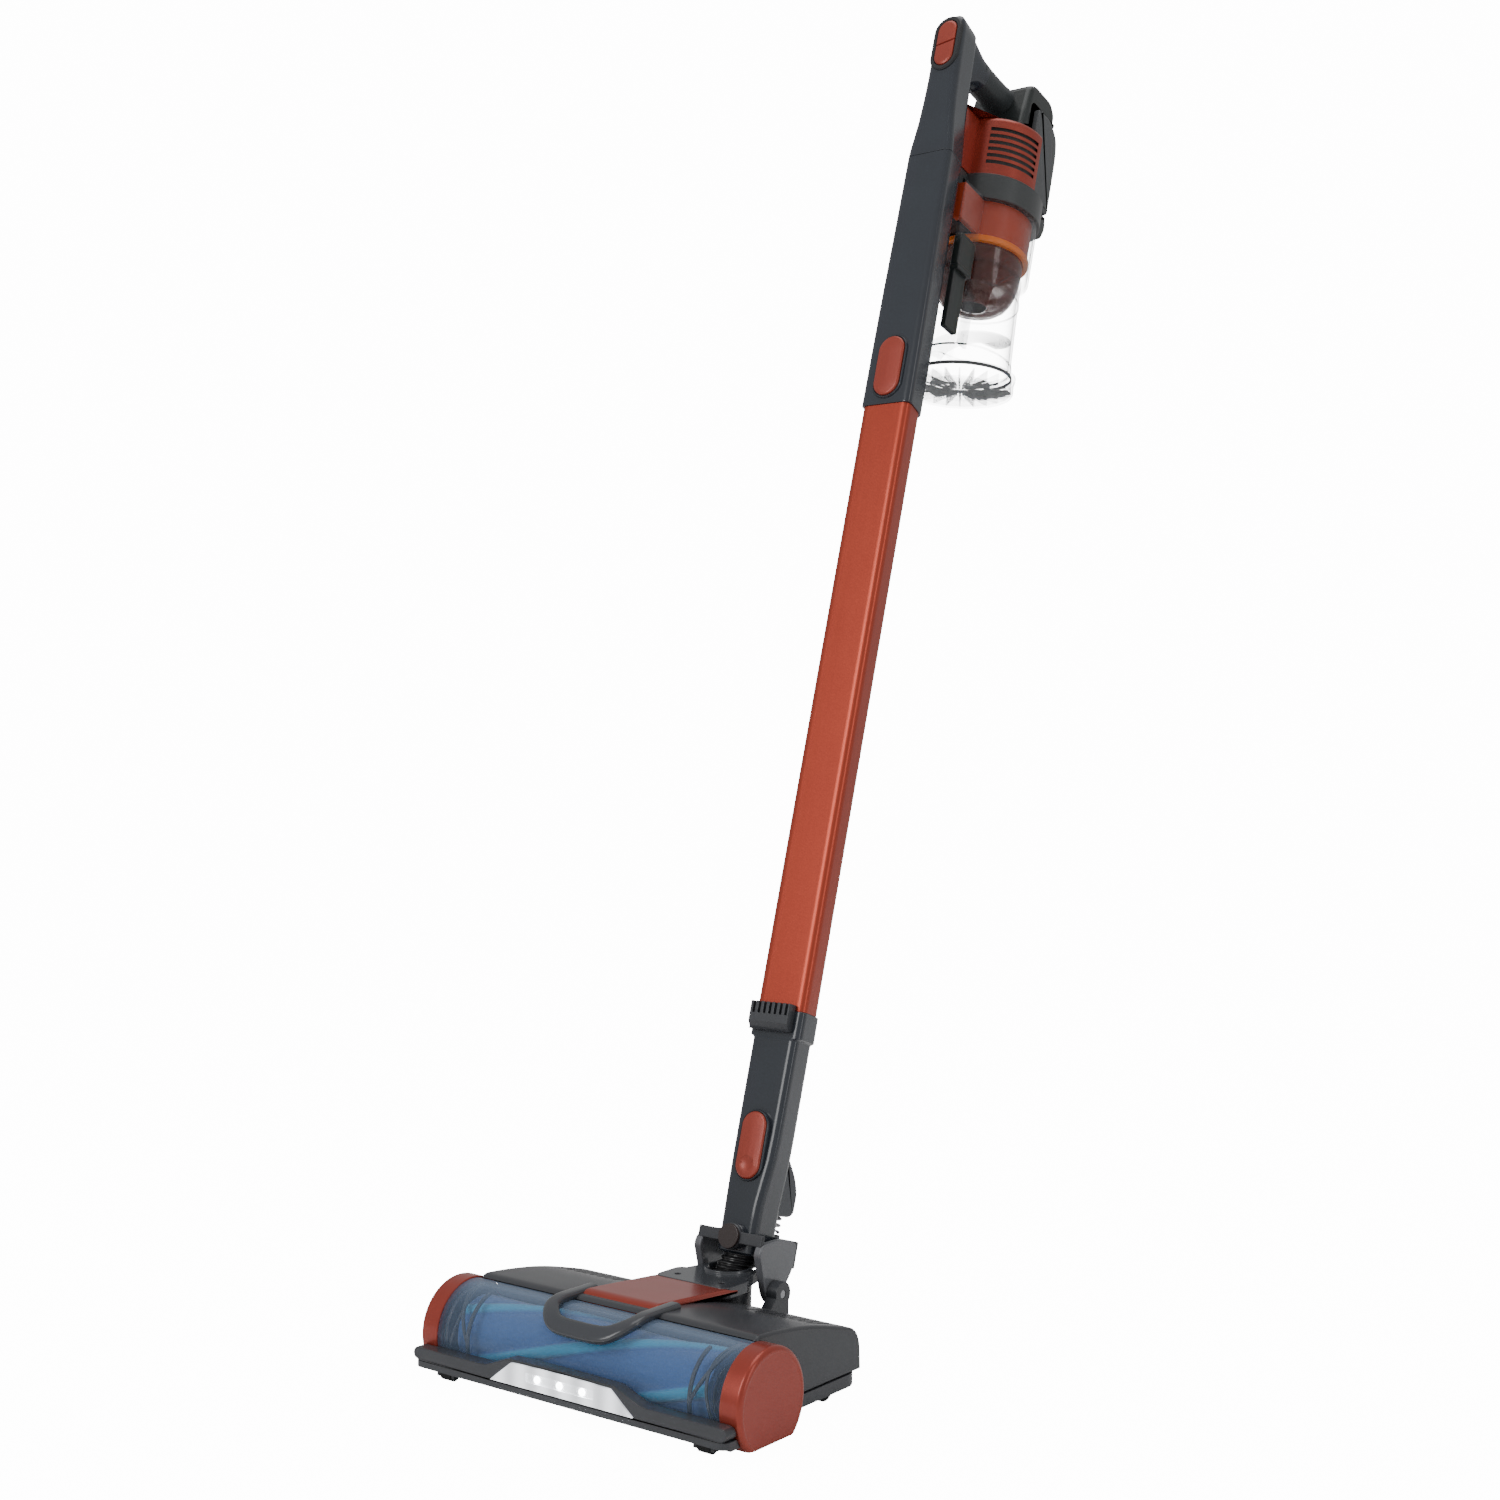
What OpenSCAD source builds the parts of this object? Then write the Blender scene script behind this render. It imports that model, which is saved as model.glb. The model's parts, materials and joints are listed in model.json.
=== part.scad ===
// Cordless stick vacuum cleaner: powered floor head, folding neck, wand and handheld cyclone unit.
// The head stands on the floor at Z = 0, with its front edge at Y = 0 and its middle at X = 0.
// Everything above the tilt hinge is drawn upright in the stick's own frame and leaned back as one.

/* [Stance] */
// Lean of the stick behind the vertical, degrees
lean = 16; // [5:1:40]
// Height of the tilt hinge above the floor
tilt_z = 48; // [46:0.5:52]
// Distance of the tilt hinge behind the head's front edge
tilt_y = 195; // [192:1:205]

/* [Floor head] */
// Overall width of the head across its end caps
head_w = 284; // [260:2:300]
// Radius of the round brush housing, as its end caps show it
cap_r = 35.5; // [34:0.5:37]
// Width of one end cap
cap_w = 16.4; // [12:0.2:20]
// Height of the brush axis
brush_z = 28.5; // [28:0.5:30]
// Distance of the brush axis behind the front edge
brush_y = 45; // [43:1:48]
// Radius of the brush over its bristles
brush_r = 27; // [24:0.5:28]
// Distance of the rear edge behind the front edge
head_d = 172; // [165:1:180]
// Radius of the rear wheels
wheel_r = 10; // [8:0.5:11]

/* [Wand] */
// Distance of the wand's lower end from the tilt hinge
wand_s0 = 204; // [195:1:220]
// Distance of the wand's upper end from the tilt hinge
wand_s1 = 703; // [600:1:720]
// Width of the wand across its flat front
wand_w = 47; // [44:0.5:50]
// Wall of the aluminium tube
wand_wall = 1.8; // [1.2:0.2:2.4]

/* [Handheld unit] */
// Distance of the unit's top from the tilt hinge
top_s = 1064; // [1060:1:1070]
// Distance of the cup's and the motor's axis behind the wand's axis
cup_y = 92; // [88:1:96]
// Radius of the dust cup's upper part
cup_r = 45; // [43:0.5:47]
// Radius of the motor housing
housing_r = 43; // [41:0.5:44]
// Diameter of the grip bar
grip_d = 27; // [24:0.5:30]
// Slope of the cup's lid, degrees
lid_slope = 9; // [4:1:14]

/* [Hidden] */
$fn = 64;
gap = 0.3;
wall = 2.4;
half_w = head_w / 2;
copper = "#b9502f";
slate = "#3b4048";
charcoal = "#303236";
clear = [0.85, 0.88, 0.9, 0.35];

// Outlines
function arc(c, r, a0, a1, n = 6) =
    [for (i = [0 : n]) c + r * [cos(a0 + (a1 - a0) * i / n), sin(a0 + (a1 - a0) * i / n)]];
function mirrored(right) =
    concat(right, [for (i = [len(right) - 1 : -1 : 0]) [-right[i][0], right[i][1]]]);
// A D-shaped outline: a wide flat front (low Y), sides that close in, and a narrow round back
function d_outline(front_w, front_y, back_w, back_y, rf = 7, rb = 9) =
    let (c1 = [front_w / 2 - rf, front_y + rf],
         c2 = [back_w / 2 - rb, back_y - rb],
         d = c2 - c1,
         a = atan2(d[1], d[0]) - acos((rf - rb) / norm(d)))
    mirrored(concat(arc(c1, rf, -90, a), arc(c2, rb, a, 90)));
// The stick's outline, larger or smaller by a margin all round
function stick_outline(m = 0, w = wand_w) =
    d_outline(w + 2 * m, -11 - m, w - 13 + 2 * m, 20 + m, 7 + m, 9 + m);

module on_stick() translate([0, tilt_y, tilt_z]) rotate([-lean, 0, 0]) children();
module prism(outline, z0, z1) translate([0, 0, z0]) linear_extrude(z1 - z0) polygon(outline);
// Extrudes a (Y, Z) outline from x0 to x1
module across(outline, x0, x1)
    translate([x0, 0, 0]) rotate([90, 0, 90]) linear_extrude(x1 - x0) polygon(outline);
// A cylinder along X round the point (y, z)
module barrel(y, z, r, x0, x1) translate([x0, y, z]) rotate([0, 90, 0]) cylinder(r = r, h = x1 - x0);
// A pin along Y in the stick's frame
module cross_pin(s, r, y0, y1) translate([0, y0, s]) rotate([-90, 0, 0]) cylinder(r = r, h = y1 - y0);
// A pill outline standing on the front of the stick
module pill(w, h, s, y0, y1)
    translate([0, y1, s]) rotate([90, 0, 0]) linear_extrude(y1 - y0)
        polygon(concat(arc([0, h / 2 - w / 2], w / 2, 0, 180, 16), arc([0, w / 2 - h / 2], w / 2, 180, 360, 16)));
module both() { children(); mirror([1, 0, 0]) children(); }
module slab(outline, s) translate([0, 0, s]) linear_extrude(0.1) polygon(outline);

// ---- Handheld unit ----
socket_s = wand_s1 + 48;
part_s = 933;
cup_top_s = 922;
button_s = 1037;
grip_s = 1037;
port_s = 900;
duct_mid_w = 44;
duct_top_w = 29;
release_s = wand_s1 + 33;
grip_end_r = 11.5;
fan_y = 75;

module duct_body(m, s0, s1, w0, w1) hull() {
    slab(stick_outline(m, w0), s0);
    slab(stick_outline(m, w1), s1 - 0.1);
}
module lower_duct() color(slate) on_stick() difference() {
    duct_body(0.9, wand_s1 + gap, part_s - 0.1, wand_w, duct_mid_w);
    prism(stick_outline(-1.8), wand_s1 - 1, socket_s + 60);
    prism(stick_outline(-5), socket_s, part_s - 10);
    pill(25.4, 53.4, release_s, -13, 12);
    // mouth of the inlet port
    translate([-12, 0, port_s - 14]) cube([24, 40, 28]);
}
module upper_duct() color(slate) on_stick() difference() {
    union() {
        duct_body(0.9, part_s, 962, duct_mid_w, 38);
        duct_body(0.9, 962, 992, 38, 33);
        hull() {
            slab(stick_outline(0.9, 33), 992);
            slab(stick_outline(0.9, duct_top_w + 1), top_s - 14);
            slab(stick_outline(-3, duct_top_w + 1), top_s - 0.1);
        }
    }
    translate([-8, -5, part_s + 8]) cube([16, 14, 88]);
    pill(20.6, 42.6, button_s, -16, -6);
    cross_pin(grip_s, 5, 4, 40);
}
module button_bezel() color("#17181a") on_stick() difference() {
    pill(20, 42, button_s, -12.4, -6.4);
    translate([-7.6, -20, button_s + 0.4]) cube([15.2, 20, 15]);
    translate([-7.6, -20, button_s - 15.4]) cube([15.2, 20, 15]);
}
module key_cap(s0) color(copper) on_stick() union() {
    translate([-7.3, -13.9, s0]) cube([14.6, 4.5, 14.2]);
    translate([-4, -9.5, s0 + 4]) cube([8, 1.8, 6]);
}
module power_button() key_cap(button_s + 0.8);
module mode_button() key_cap(button_s - 15);
module handle_grip() color(charcoal) on_stick() union() {
    cross_pin(grip_s, grip_d / 2, 22, 84);
    cross_pin(grip_s, grip_end_r, 80, 98);
    cross_pin(grip_s, grip_d / 2 + 1.4, 20.95, 28);
    cross_pin(grip_s, 4.8, 8, 21);
}
root_outline = concat(arc([92, 1048], 8, 180, 90), arc([131 - 9, 1056 - 9], 9, 90, 0), [[131, 1031.2], [84, 1031.2]]);
module handle_root() color("#23292a") on_stick() difference() {
    union() {
        across(root_outline, -19, 19);
        across([[74, 1003.2], [93, 1003.2], [93, 1032], [84, 1032]], -14, 14);
    }
    cross_pin(grip_s, grip_d / 2 + 0.1, 60, 84.1);
    cross_pin(grip_s, grip_end_r + 0.02, 60, 98.05);
}
// Outline that narrows from a round of radius r to the duct: straight sides down to y0
function beak(r, y0 = 20) = let (n = [0.9507, -0.3116], e = [n[0] * r, cup_y + n[1] * r])
    mirrored([[0, y0], [e[0] + n[1] * (e[1] - y0) / n[0], y0], e, [0, e[1]]]);
module motor_housing() color(copper) on_stick() difference() {
    union() {
        translate([0, cup_y, 946]) cylinder(r = housing_r, h = 50);
        translate([0, cup_y, 996]) cylinder(r1 = housing_r, r2 = housing_r - 4, h = 7);
        prism(beak(housing_r), 946, 992);
    }
    difference() {
        translate([0, cup_y, 940]) cylinder(r = housing_r - wall, h = 57);
        translate([-60, 91.6, 930]) cube([120, 5, 80]);
    }
    prism(beak(housing_r - wall, 29), 940, 989.6);
    // six cooling slots each side, round the side of the drum
    for (k = [0 : 5]) both() intersection() {
        translate([0, cup_y, 956 + 6.3 * k]) difference() {
            cylinder(r = housing_r + 2, h = 3.2);
            translate([0, 0, -1]) cylinder(r = housing_r - 4, h = 6);
        }
        translate([9, 64, 940]) cube([60, cup_y - 66, 70]);
    }
    // flat back against the battery, and the seat of the duct
    translate([-60, 94, 900]) cube([120, 60, 131]);
    translate([0, 0, 940]) linear_extrude(70) polygon(stick_outline(1.1));
}
module motor_can() color("silver") on_stick() difference() {
    translate([0, fan_y, 952]) cylinder(r = 15.5, h = 40);
    translate([0, fan_y, 955]) cylinder(r = 13.5, h = 34);
    translate([0, fan_y, 950]) cylinder(r = 3, h = 50);
}
module motor_shaft() color("silver") on_stick() translate([0, fan_y, 941]) cylinder(r = 2.95, h = 52);
module fan_impeller() color("#d8d8d8") on_stick() difference() {
    union() {
        translate([0, fan_y, 946]) cylinder(r = 15, h = 1.6);
        translate([0, fan_y, 942.5]) cylinder(r = 5, h = 5);
        for (a = [0 : 40 : 320])
            translate([0, fan_y, 942.5]) rotate([0, 0, a]) translate([4, -0.6, 0]) cube([10.4, 1.2, 4]);
    }
    translate([0, fan_y, 940]) cylinder(r = 2.95, h = 12);
}
module exhaust_filter() color("#e6e3da") on_stick() intersection() {
    translate([0, cup_y, 954]) difference() {
        cylinder(r = housing_r - wall - 0.6, h = 40);
        translate([0, 0, -1]) cylinder(r = housing_r - wall - 5, h = 42);
    }
    translate([-60, 30, 950]) cube([120, 61.5, 60]);
}
// the band carries the battery's foot behind the drum
module band_shape(m, s0, s1) {
    translate([0, cup_y, s0]) cylinder(r = cup_r + 2 + m, h = s1 - s0);
    translate([-35 - m, cup_y, s0]) cube([70 + 2 * m, 41 + m, s1 - s0]);
    prism(beak(cup_r + 2 + m), s0, s1);
}
module housing_band() color("#4a4c4f") on_stick() difference() {
    band_shape(0, cup_top_s + gap, 945.8);
    translate([0, cup_y, 900]) cylinder(r = 36, h = 38);
    prism(beak(36, 31), 900, 938);
    translate([0, fan_y, 935]) cylinder(r = 16.5, h = 20);
    translate([0, 0, 900]) linear_extrude(60) polygon(stick_outline(1.2));
}
module separator_top() color("#a8431f") on_stick() difference() {
    union() {
        translate([0, cup_y, 890]) cylinder(r = 40, h = cup_top_s - 890 + 0.2);
        prism(beak(40, 30), 890, cup_top_s + 0.2);
    }
    translate([0, cup_y, 880]) cylinder(r = 34, h = 60);
    prism(beak(36.5, 33), 880, 940);
    translate([-11, 0, 880]) cube([22, 62, 60]);
}
module accent_ring() color("#ff7a1a") on_stick() difference() {
    translate([0, cup_y, 884]) cylinder(r = 42.4, h = 5.8);
    translate([0, cup_y, 880]) cylinder(r = 38, h = 20);
}
module cyclone_cone() color([0.45, 0.12, 0.08, 0.7]) on_stick() difference() {
    translate([0, cup_y, 0]) rotate_extrude() polygon([[0, 826], [20, 826], [27, 831], [34, 850], [37.9, 883.8], [0, 883.8]]);
    translate([0, cup_y, 0]) rotate_extrude() polygon([[0, 828], [19.2, 828], [25.6, 832.2], [32.3, 851], [36.2, 884], [0, 884]]);
}
module mesh_screen() color("#2b2b2d") on_stick() difference() {
    translate([0, cup_y, 842]) cylinder(r1 = 12, r2 = 26, h = 95);
    translate([0, cup_y, 844]) cylinder(r1 = 10.5, r2 = 24.5, h = 94);
}
module inlet_port() color(charcoal) on_stick() difference() {
    translate([-10.6, 14, port_s - 9]) cube([21.2, 42, 18]);
    translate([-8.6, 10, port_s - 7]) cube([17.2, 50, 14]);
}
module battery_pack() color("#54575a") on_stick() difference() {
    across(concat(arc([99, 1025], 5, 180, 90, 4), arc([120, 1018], 12, 90, 0), [[132, 1010], [132, 946.1], [94, 946.1]]), -36, 36);
    cross_pin(grip_s, grip_end_r + 0.6, 60, 98.8);
    translate([-9.3, 126, 978.7]) cube([18.6, 10, 20.6]);
}
module battery_latch() color("#1d2021") on_stick() difference() {
    translate([-9, 128.6, 979]) cube([18, 4.9, 20]);
    for (k = [0 : 3]) translate([-7, 133, 982.6 + 4.2 * k]) cube([14, 2, 1.6]);
}
lid_s = 775;
// Cuts away what lies below the lid's sloping plane, offset by d along the plane's normal
module below_lid(d) translate([0, cup_y, lid_s + d / cos(lid_slope)]) rotate([lid_slope, 0, 0])
    translate([-100, -120, -200]) cube([200, 240, 200]);
nose_w = 19;
function cup_plan(r, m) = mirrored(concat([[0, 26 - m]], arc([nose_w + m - 6, 32 - m], 6, -90, 0, 4),
    arc([0, cup_y], r, -acos(0) + asin((nose_w + m) / r), 90, 28)));
module dust_cup() color(clear) on_stick() union() {
    cup_body();
    both() lid_frame() difference() {
        union() {
            translate([14.3, hinge_v, 0]) rotate([0, 90, 0]) cylinder(r = 3.6, h = 3.4);
            translate([14.3, 36.5, 2.6]) cube([3.4, hinge_v - 34.5, 4]);
        }
        translate([10, hinge_v, 0]) rotate([0, 90, 0]) cylinder(r = 1.5, h = 12);
    }
}
module cup_body() difference() {
    union() {
        translate([0, cup_y, 853]) cylinder(r = cup_r, h = cup_top_s - 853);
        translate([0, cup_y, 720]) cylinder(r1 = 42, r2 = 39, h = 133);
        prism(cup_plan(38, 0), 700, 868);
        // the collar runs forward to the duct
        prism(beak(cup_r), 880, cup_top_s);
    }
    prism(stick_outline(1.8), 700, cup_top_s + 10);
    prism(beak(cup_r - 1.8, 28), 882, cup_top_s + 10);
    translate([0, cup_y, 855]) cylinder(r = cup_r - 1.8, h = 80);
    translate([0, cup_y, 700]) cylinder(r1 = 40.4, r2 = 37.2, h = 156);
    prism(mirrored(concat(arc([13, 32], 4, -90, 0, 4), [[17, 70]])), 690, 862);
    below_lid(2.4);
    translate([-11.4, 20, port_s - 10]) cube([22.8, 40, 60]);
}
module swirl_vane() color(clear) on_stick() intersection() {
    translate([0, cup_y, 795]) rotate([24, 0, 0]) difference() {
        cylinder(r = 46, h = 2);
        translate([0, 0, -1]) cylinder(r = 21, h = 6);
    }
    difference() {
        translate([0, cup_y, 700]) cylinder(r1 = 40.4, r2 = 37.2, h = 156);
        translate([-50, 40, 690]) cube([50, 100, 180]);
    }
}
module lid_frame() translate([0, cup_y, lid_s]) rotate([lid_slope, 0, 0]) children();
hinge_v = 56;
function lid_outline(m) = mirrored(concat([[0, -67 + m]], arc([13, -61], 6 - m, -90, 0, 4), arc([0, 0], 46.5 - m, -60, 90, 24)));
lid_deep = 15;
module cup_lid() color(clear) on_stick() lid_frame() difference() {
    union() {
        translate([0, 0, -lid_deep]) linear_extrude(lid_deep + 1.6) polygon(lid_outline(0));
        translate([-14, 44, -3.4]) cube([28, hinge_v - 44, 4]);
        translate([-14, hinge_v, 0]) rotate([0, 90, 0]) cylinder(r = 3.6, h = 28);
    }
    translate([0, 0, 2 - lid_deep]) linear_extrude(lid_deep + 5) polygon(lid_outline(2));
    translate([-20, hinge_v, 0]) rotate([0, 90, 0]) cylinder(r = 1.55, h = 40);
}
module lid_seal() color("#202020") on_stick() lid_frame() difference() {
    translate([0, 0, -1.2]) cylinder(r = 44.3, h = 3.4);
    translate([0, 0, -2]) cylinder(r = 38.4, h = 5);
}
module lid_pin() color("silver") on_stick() lid_frame() union() {
    translate([-17.5, hinge_v, 0]) rotate([0, 90, 0]) cylinder(r = 1.5, h = 35);
}
module ejector_slider() color("#1b1c1e") on_stick() union() {
    translate([19.3, 26.2, 846]) cube([7.7, 24, 30]);
    translate([19.3, 26.2, 842]) cube([9, 22, 4.5]);
    translate([19.3, 27, 790]) cube([5, 19, 60]);
}
module wand_release() color(copper) on_stick() union() {
    pill(24.6, 52.6, release_s, -15.6, -9);
    translate([-4, -9.1, release_s - 20]) cube([8, 3.9, 8]);
}

// ---- Wand ----
module wand_tube() color(copper) on_stick() difference() {
    prism(stick_outline(), wand_s0, wand_s1);
    prism(stick_outline(-wand_wall), wand_s0 - 1, wand_s1 + 1);
}
module wand_plug() color(charcoal) on_stick() difference() {
    prism(stick_outline(-wand_wall - 0.3), wand_s1 - 36, socket_s - 6);
    prism(stick_outline(-4.6), wand_s1 - 40, socket_s + 4);
    translate([-14, -14, release_s - 27]) cube([28, 9, 54]);
}

// ---- Neck ----
steer_s = 33.6;
neck_release_s = 101;
neck_front = -16;
neck_side = [[neck_front, 22], [16.6, 22], [16.6, 51.5], [30, 51.5], [30, 60], [32, 92], [30, 182], [-12, 182], [-13, 92], [neck_front, 60]];
neck_face = [[-17, 22], [17, 22], [17, 60], [20.5, 92], [21, 182], [-21, 182], [-20.5, 92], [-17, 60]];
module neck_tube() color("#34373d") on_stick() difference() {
    union() {
        intersection() {
            prism(d_outline(42, neck_front, 32, 19, 8, 9), 22, 182);
            across(neck_side, -21, 21);
            front_prism(neck_face, -20, 40);
        }
        prism(stick_outline(0.7, 48), 181.9, wand_s0 - gap);
        // hump over the spring
        across([[12, 104], [19, 96], [31, 84], [37, 72], [37, 58], [34, 53], [12, 53]], -12, 12);
        cross_pin(steer_s, 9.6, -18.9, -10);
    }
    prism(d_outline(28, neck_front + 3, 12, 12, 6, 6), 10, 56);
    prism(d_outline(28, neck_front + 3, 25, 12, 6, 6), 54, 90);
    prism(stick_outline(-5, 44), 80, wand_s0 + 10);
    pill(23.2, 51.2, neck_release_s, -19, -7.8);
    cross_pin(steer_s, 4.05, -20, -8);
    cross_pin(steer_s, 4.05, 8, 20);
    translate([0, 28, 40]) cylinder(r = 7.2, h = 36);
}
module neck_plug() color("#17181a") on_stick() difference() {
    prism(stick_outline(-wand_wall - 0.35), wand_s0 - gap, wand_s0 + 42);
    prism(stick_outline(-5), wand_s0 - 10, wand_s0 + 50);
}
module comb_grille() color("#26282b") on_stick() difference() {
    translate([-20, -20.5, 187]) cube([36, 8.6, 21]);
    for (k = [0 : 6]) translate([-17.6 + 5 * k, -22, 199]) cube([2.2, 6.5, 20]);
    translate([-30, -24, 183.5]) rotate([35, 0, 0]) cube([60, 8, 8]);
}
module neck_release() color(copper) on_stick() difference() {
    union() {
        pill(22, 50, neck_release_s, -17.8, -12);
        translate([-4, -12.1, neck_release_s - 4]) cube([8, 2.1, 8]);
    }
    cross_pin(neck_release_s - 14.5, 6.2, -19, -17.1);
}
spring_turns = 6;
spring_r = 5.4;
wire_r = 0.9;
function coil_point(t) = [spring_r * cos(360 * spring_turns * t), 28 + spring_r * sin(360 * spring_turns * t), 41.5 + 30 * t];
module neck_spring() color("#8b8d90") on_stick() {
    n = spring_turns * 14;
    polyhedron(
        points = [for (i = [0 : n]) let (c = coil_point(i / n), a = 360 * spring_turns * i / n)
            for (k = [0 : 5]) c + wire_r * (cos(60 * k) * [cos(a), sin(a), 0] + sin(60 * k) * [0, 0, 1])],
        faces = concat([[5, 4, 3, 2, 1, 0]], [[for (k = [0 : 5]) 6 * n + k]],
            [for (i = [0 : n - 1]) for (k = [0 : 5])
                [6 * i + k, 6 * i + (k + 1) % 6, 6 * (i + 1) + (k + 1) % 6, 6 * (i + 1) + k]]));
}

// ---- Yoke ----
cheek = concat(arc([0, 0], 9, 180, 330, 12), [[20, 18], [20, 36], [4, 38], [-22, 31], [-24, 24]]);
module yoke() color("#6a6e75") on_stick() difference() {
    union() {
        both() across(cheek, 24.6, 30.4);
        // rear bar and front bridge, which hold the two steer pins
        translate([-30.4, 17.4, 18]) cube([60.8, 6.6, 20]);
        cross_pin(steer_s, 8.5, 17.4, 24);
        translate([0, 28, 30]) cylinder(r = 7, h = 10.2);
        translate([-7, 20, 20]) cube([14, 10, 18]);
        translate([-30.4, -22.8, 24]) cube([60.8, 3.2, 6]);
        cross_pin(steer_s, 9.6, -22.8, -19.6);
    }
    cross_pin(steer_s, 3.98, -30, -19);
    cross_pin(steer_s, 3.98, 17, 26);
    both() barrel(0, 0, 3.05, 20, 40);
}
module steer_pins() color("#2a2b2d") on_stick() union() {
    cross_pin(steer_s, 3.98, -22.8, -14);
    cross_pin(steer_s, 9, -25.4, -22.8);
    cross_pin(steer_s, 3.98, 12.5, 24);
}

// ---- Floor head ----
deck_z = 66;
win_r = cap_r - 1;
module tilt_pins() color("silver") both() barrel(tilt_y, tilt_z, 2.98, 24.6, 39.5);
// Bellows from the collar up to the neck: its centre line, and the tilt of its rings on the way
hose_rings = 21;
hose_sides = 20;
function hose_axis(t) = [0, 181 + 22 * t * t - 3.6 * t * t * t, 49 + 20.4 * t];
function hose_ring(t, r) = let (a = lean * (2 * t - t * t) * 1.2 - lean * 0.2 * t) [for (k = [0 : hose_sides - 1])
    let (c = r * cos(360 * k / hose_sides), d = r * sin(360 * k / hose_sides))
    hose_axis(t) + [c, d * cos(a), -d * sin(a)]];
function flat_list(rows) = [for (row = rows) for (p = row) p];
module flex_hose() color("#1f2022") {
    n = hose_sides;
    m = hose_rings - 1;
    polyhedron(
        points = concat(flat_list([for (i = [0 : m]) hose_ring(i / m, i % 2 == 0 ? 12.6 : 14.5)]),
            flat_list([for (i = [0 : m]) hose_ring(i / m, 11)])),
        faces = concat(
            [for (i = [0 : m - 1]) for (k = [0 : n - 1]) let (j = (k + 1) % n)
                [n * i + k, n * (i + 1) + k, n * (i + 1) + j, n * i + j]],
            [for (i = [0 : m - 1]) for (k = [0 : n - 1]) let (j = (k + 1) % n, o = n * hose_rings)
                [o + n * i + j, o + n * (i + 1) + j, o + n * (i + 1) + k, o + n * i + k]],
            [for (k = [0 : n - 1]) let (j = (k + 1) % n, o = n * hose_rings) [k, j, o + j, o + k]],
            [for (k = [0 : n - 1]) let (j = (k + 1) % n, o = n * hose_rings, q = n * m)
                [q + j, q + k, o + q + k, o + q + j]]));
}
module hose_collar() color("#565a60") difference() {
    union() {
        prism(mirrored(concat(arc([26, 142], 7, -90, 0), arc([26, 159], 7, 0, 80),
            arc([14, 190], 7, 0, 90))), 55, 63);
        translate([0, 181, 48]) cylinder(r = 17.5, h = 17);
    }
    translate([0, 181, 40]) cylinder(r = 15.4, h = 40);
    // cut away at the back, where the hose leans
    hull() {
        translate([0, 181, 49]) cylinder(r = 15.4, h = 1);
        translate([0, 195, 65]) cylinder(r = 16, h = 1);
    }
    both() translate([20, 147, 50]) cylinder(r = 2.2, h = 20);
}
module top_plate() color(copper) difference() {
    across([[58, 61.5], [60, 64.8], [64, 66.8], [136, 61.8], [150, 59.4], [150, 56.5], [64, 62.5]], -34, 34);
    prism(mirrored(concat(arc([26, 142], 7.4, -90, 0), [[33.4, 170]])), 40, 80);
}
// Side outline of the dark cover, from the top of the brush housing down to the rear edge
cover_side = concat([[50, 40], [50, deck_z]], arc([56, deck_z - 4], 4, 130, 80, 4),
    [[110, 60], [148, 50.5]], arc([head_d - 14, 34], 14, 78, 0, 8), [[head_d, 16], [50, 16]]);
module cover_plan(m, z0, z1) prism(mirrored(concat([[0, 40]], [[124 - m, 40]],
    arc([124 - m - 16, head_d - m - 16], 16, 0, 90, 8), [[44 + m, head_d - m], [40 + m, 158 - m], [0, 158 - m]])), z0, z1);
module upper_cover() color(charcoal) difference() {
    intersection() {
        across(cover_side, -124, 124);
        cover_plan(0, 0, 100);
    }
    intersection() {
        translate([0, -2.2, -2.2]) across(cover_side, -121.6, 121.6);
        cover_plan(2.4, 0, 100);
    }
    barrel(brush_y, brush_z, win_r + 0.1, -130, 130);
    // vents over the pods
    both() for (k = [0 : 7]) translate([60 + 7.4 * k, 122, 20]) cube([3.4, 26, 60]);
    across([[57, 58.5], [57.8, 65.2], [64, 70], [151, 70], [151, 50]], -34.3, 34.3);
    translate([0, 181, 30]) cylinder(r = 17.8, h = 60);
    translate([-34, 134.5, 40]) cube([68, 40, 30]);
    translate([-24.1, 130, 0]) cube([48.2, 40, 45.2]);
}
loop_plan_out = mirrored(concat([[0, 12.5]], arc([22, 18.5], 6, -90, -40), arc([35, 26], 6, -40, 0), [[41, 70]]));
loop_plan_in = mirrored(concat([[0, 26]], arc([19, 31], 5, -90, -40), arc([26, 38], 5, -40, 0), [[31, 57.5]]));
module carry_loop() color("#3a3c40") difference() {
    intersection() {
        union() {
            barrel(brush_y, brush_z, 39.6, -60, 60);
            translate([-60, 45, 50]) cube([120, 12, deck_z + 2.4 - 50]);
        }
        prism(loop_plan_out, 30, 100);
    }
    prism(loop_plan_in, 20, 120);
    barrel(brush_y, brush_z, win_r + 0.05, -70, 70);
    across([[49.9, 0], [49.9, deck_z + 0.5], [58, deck_z + 1], [80, 80], [80, 0]], -70, 70);
}
module front_window() color([0.6, 0.72, 0.85, 0.35]) intersection() {
    difference() {
        barrel(brush_y, brush_z, win_r, -half_w + cap_w, half_w - cap_w);
        barrel(brush_y, brush_z, win_r - 2, -half_w, half_w);
    }
    across([[brush_y, brush_z], [0, 20], [0, 80], [49.8, 80], [49.8, brush_z]], -half_w, half_w);
}
module window_ribs() color(charcoal) both() intersection() {
    for (x = [84, 103, 119]) difference() {
        barrel(brush_y, brush_z, win_r - 2.3, x, x + 2.2);
        barrel(brush_y, brush_z, 29.6, x - 1, x + 4);
    }
    across([[brush_y, brush_z], [0, 20], [0, 80], [49.8, 80], [49.8, brush_z]], 0, half_w);
}
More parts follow.
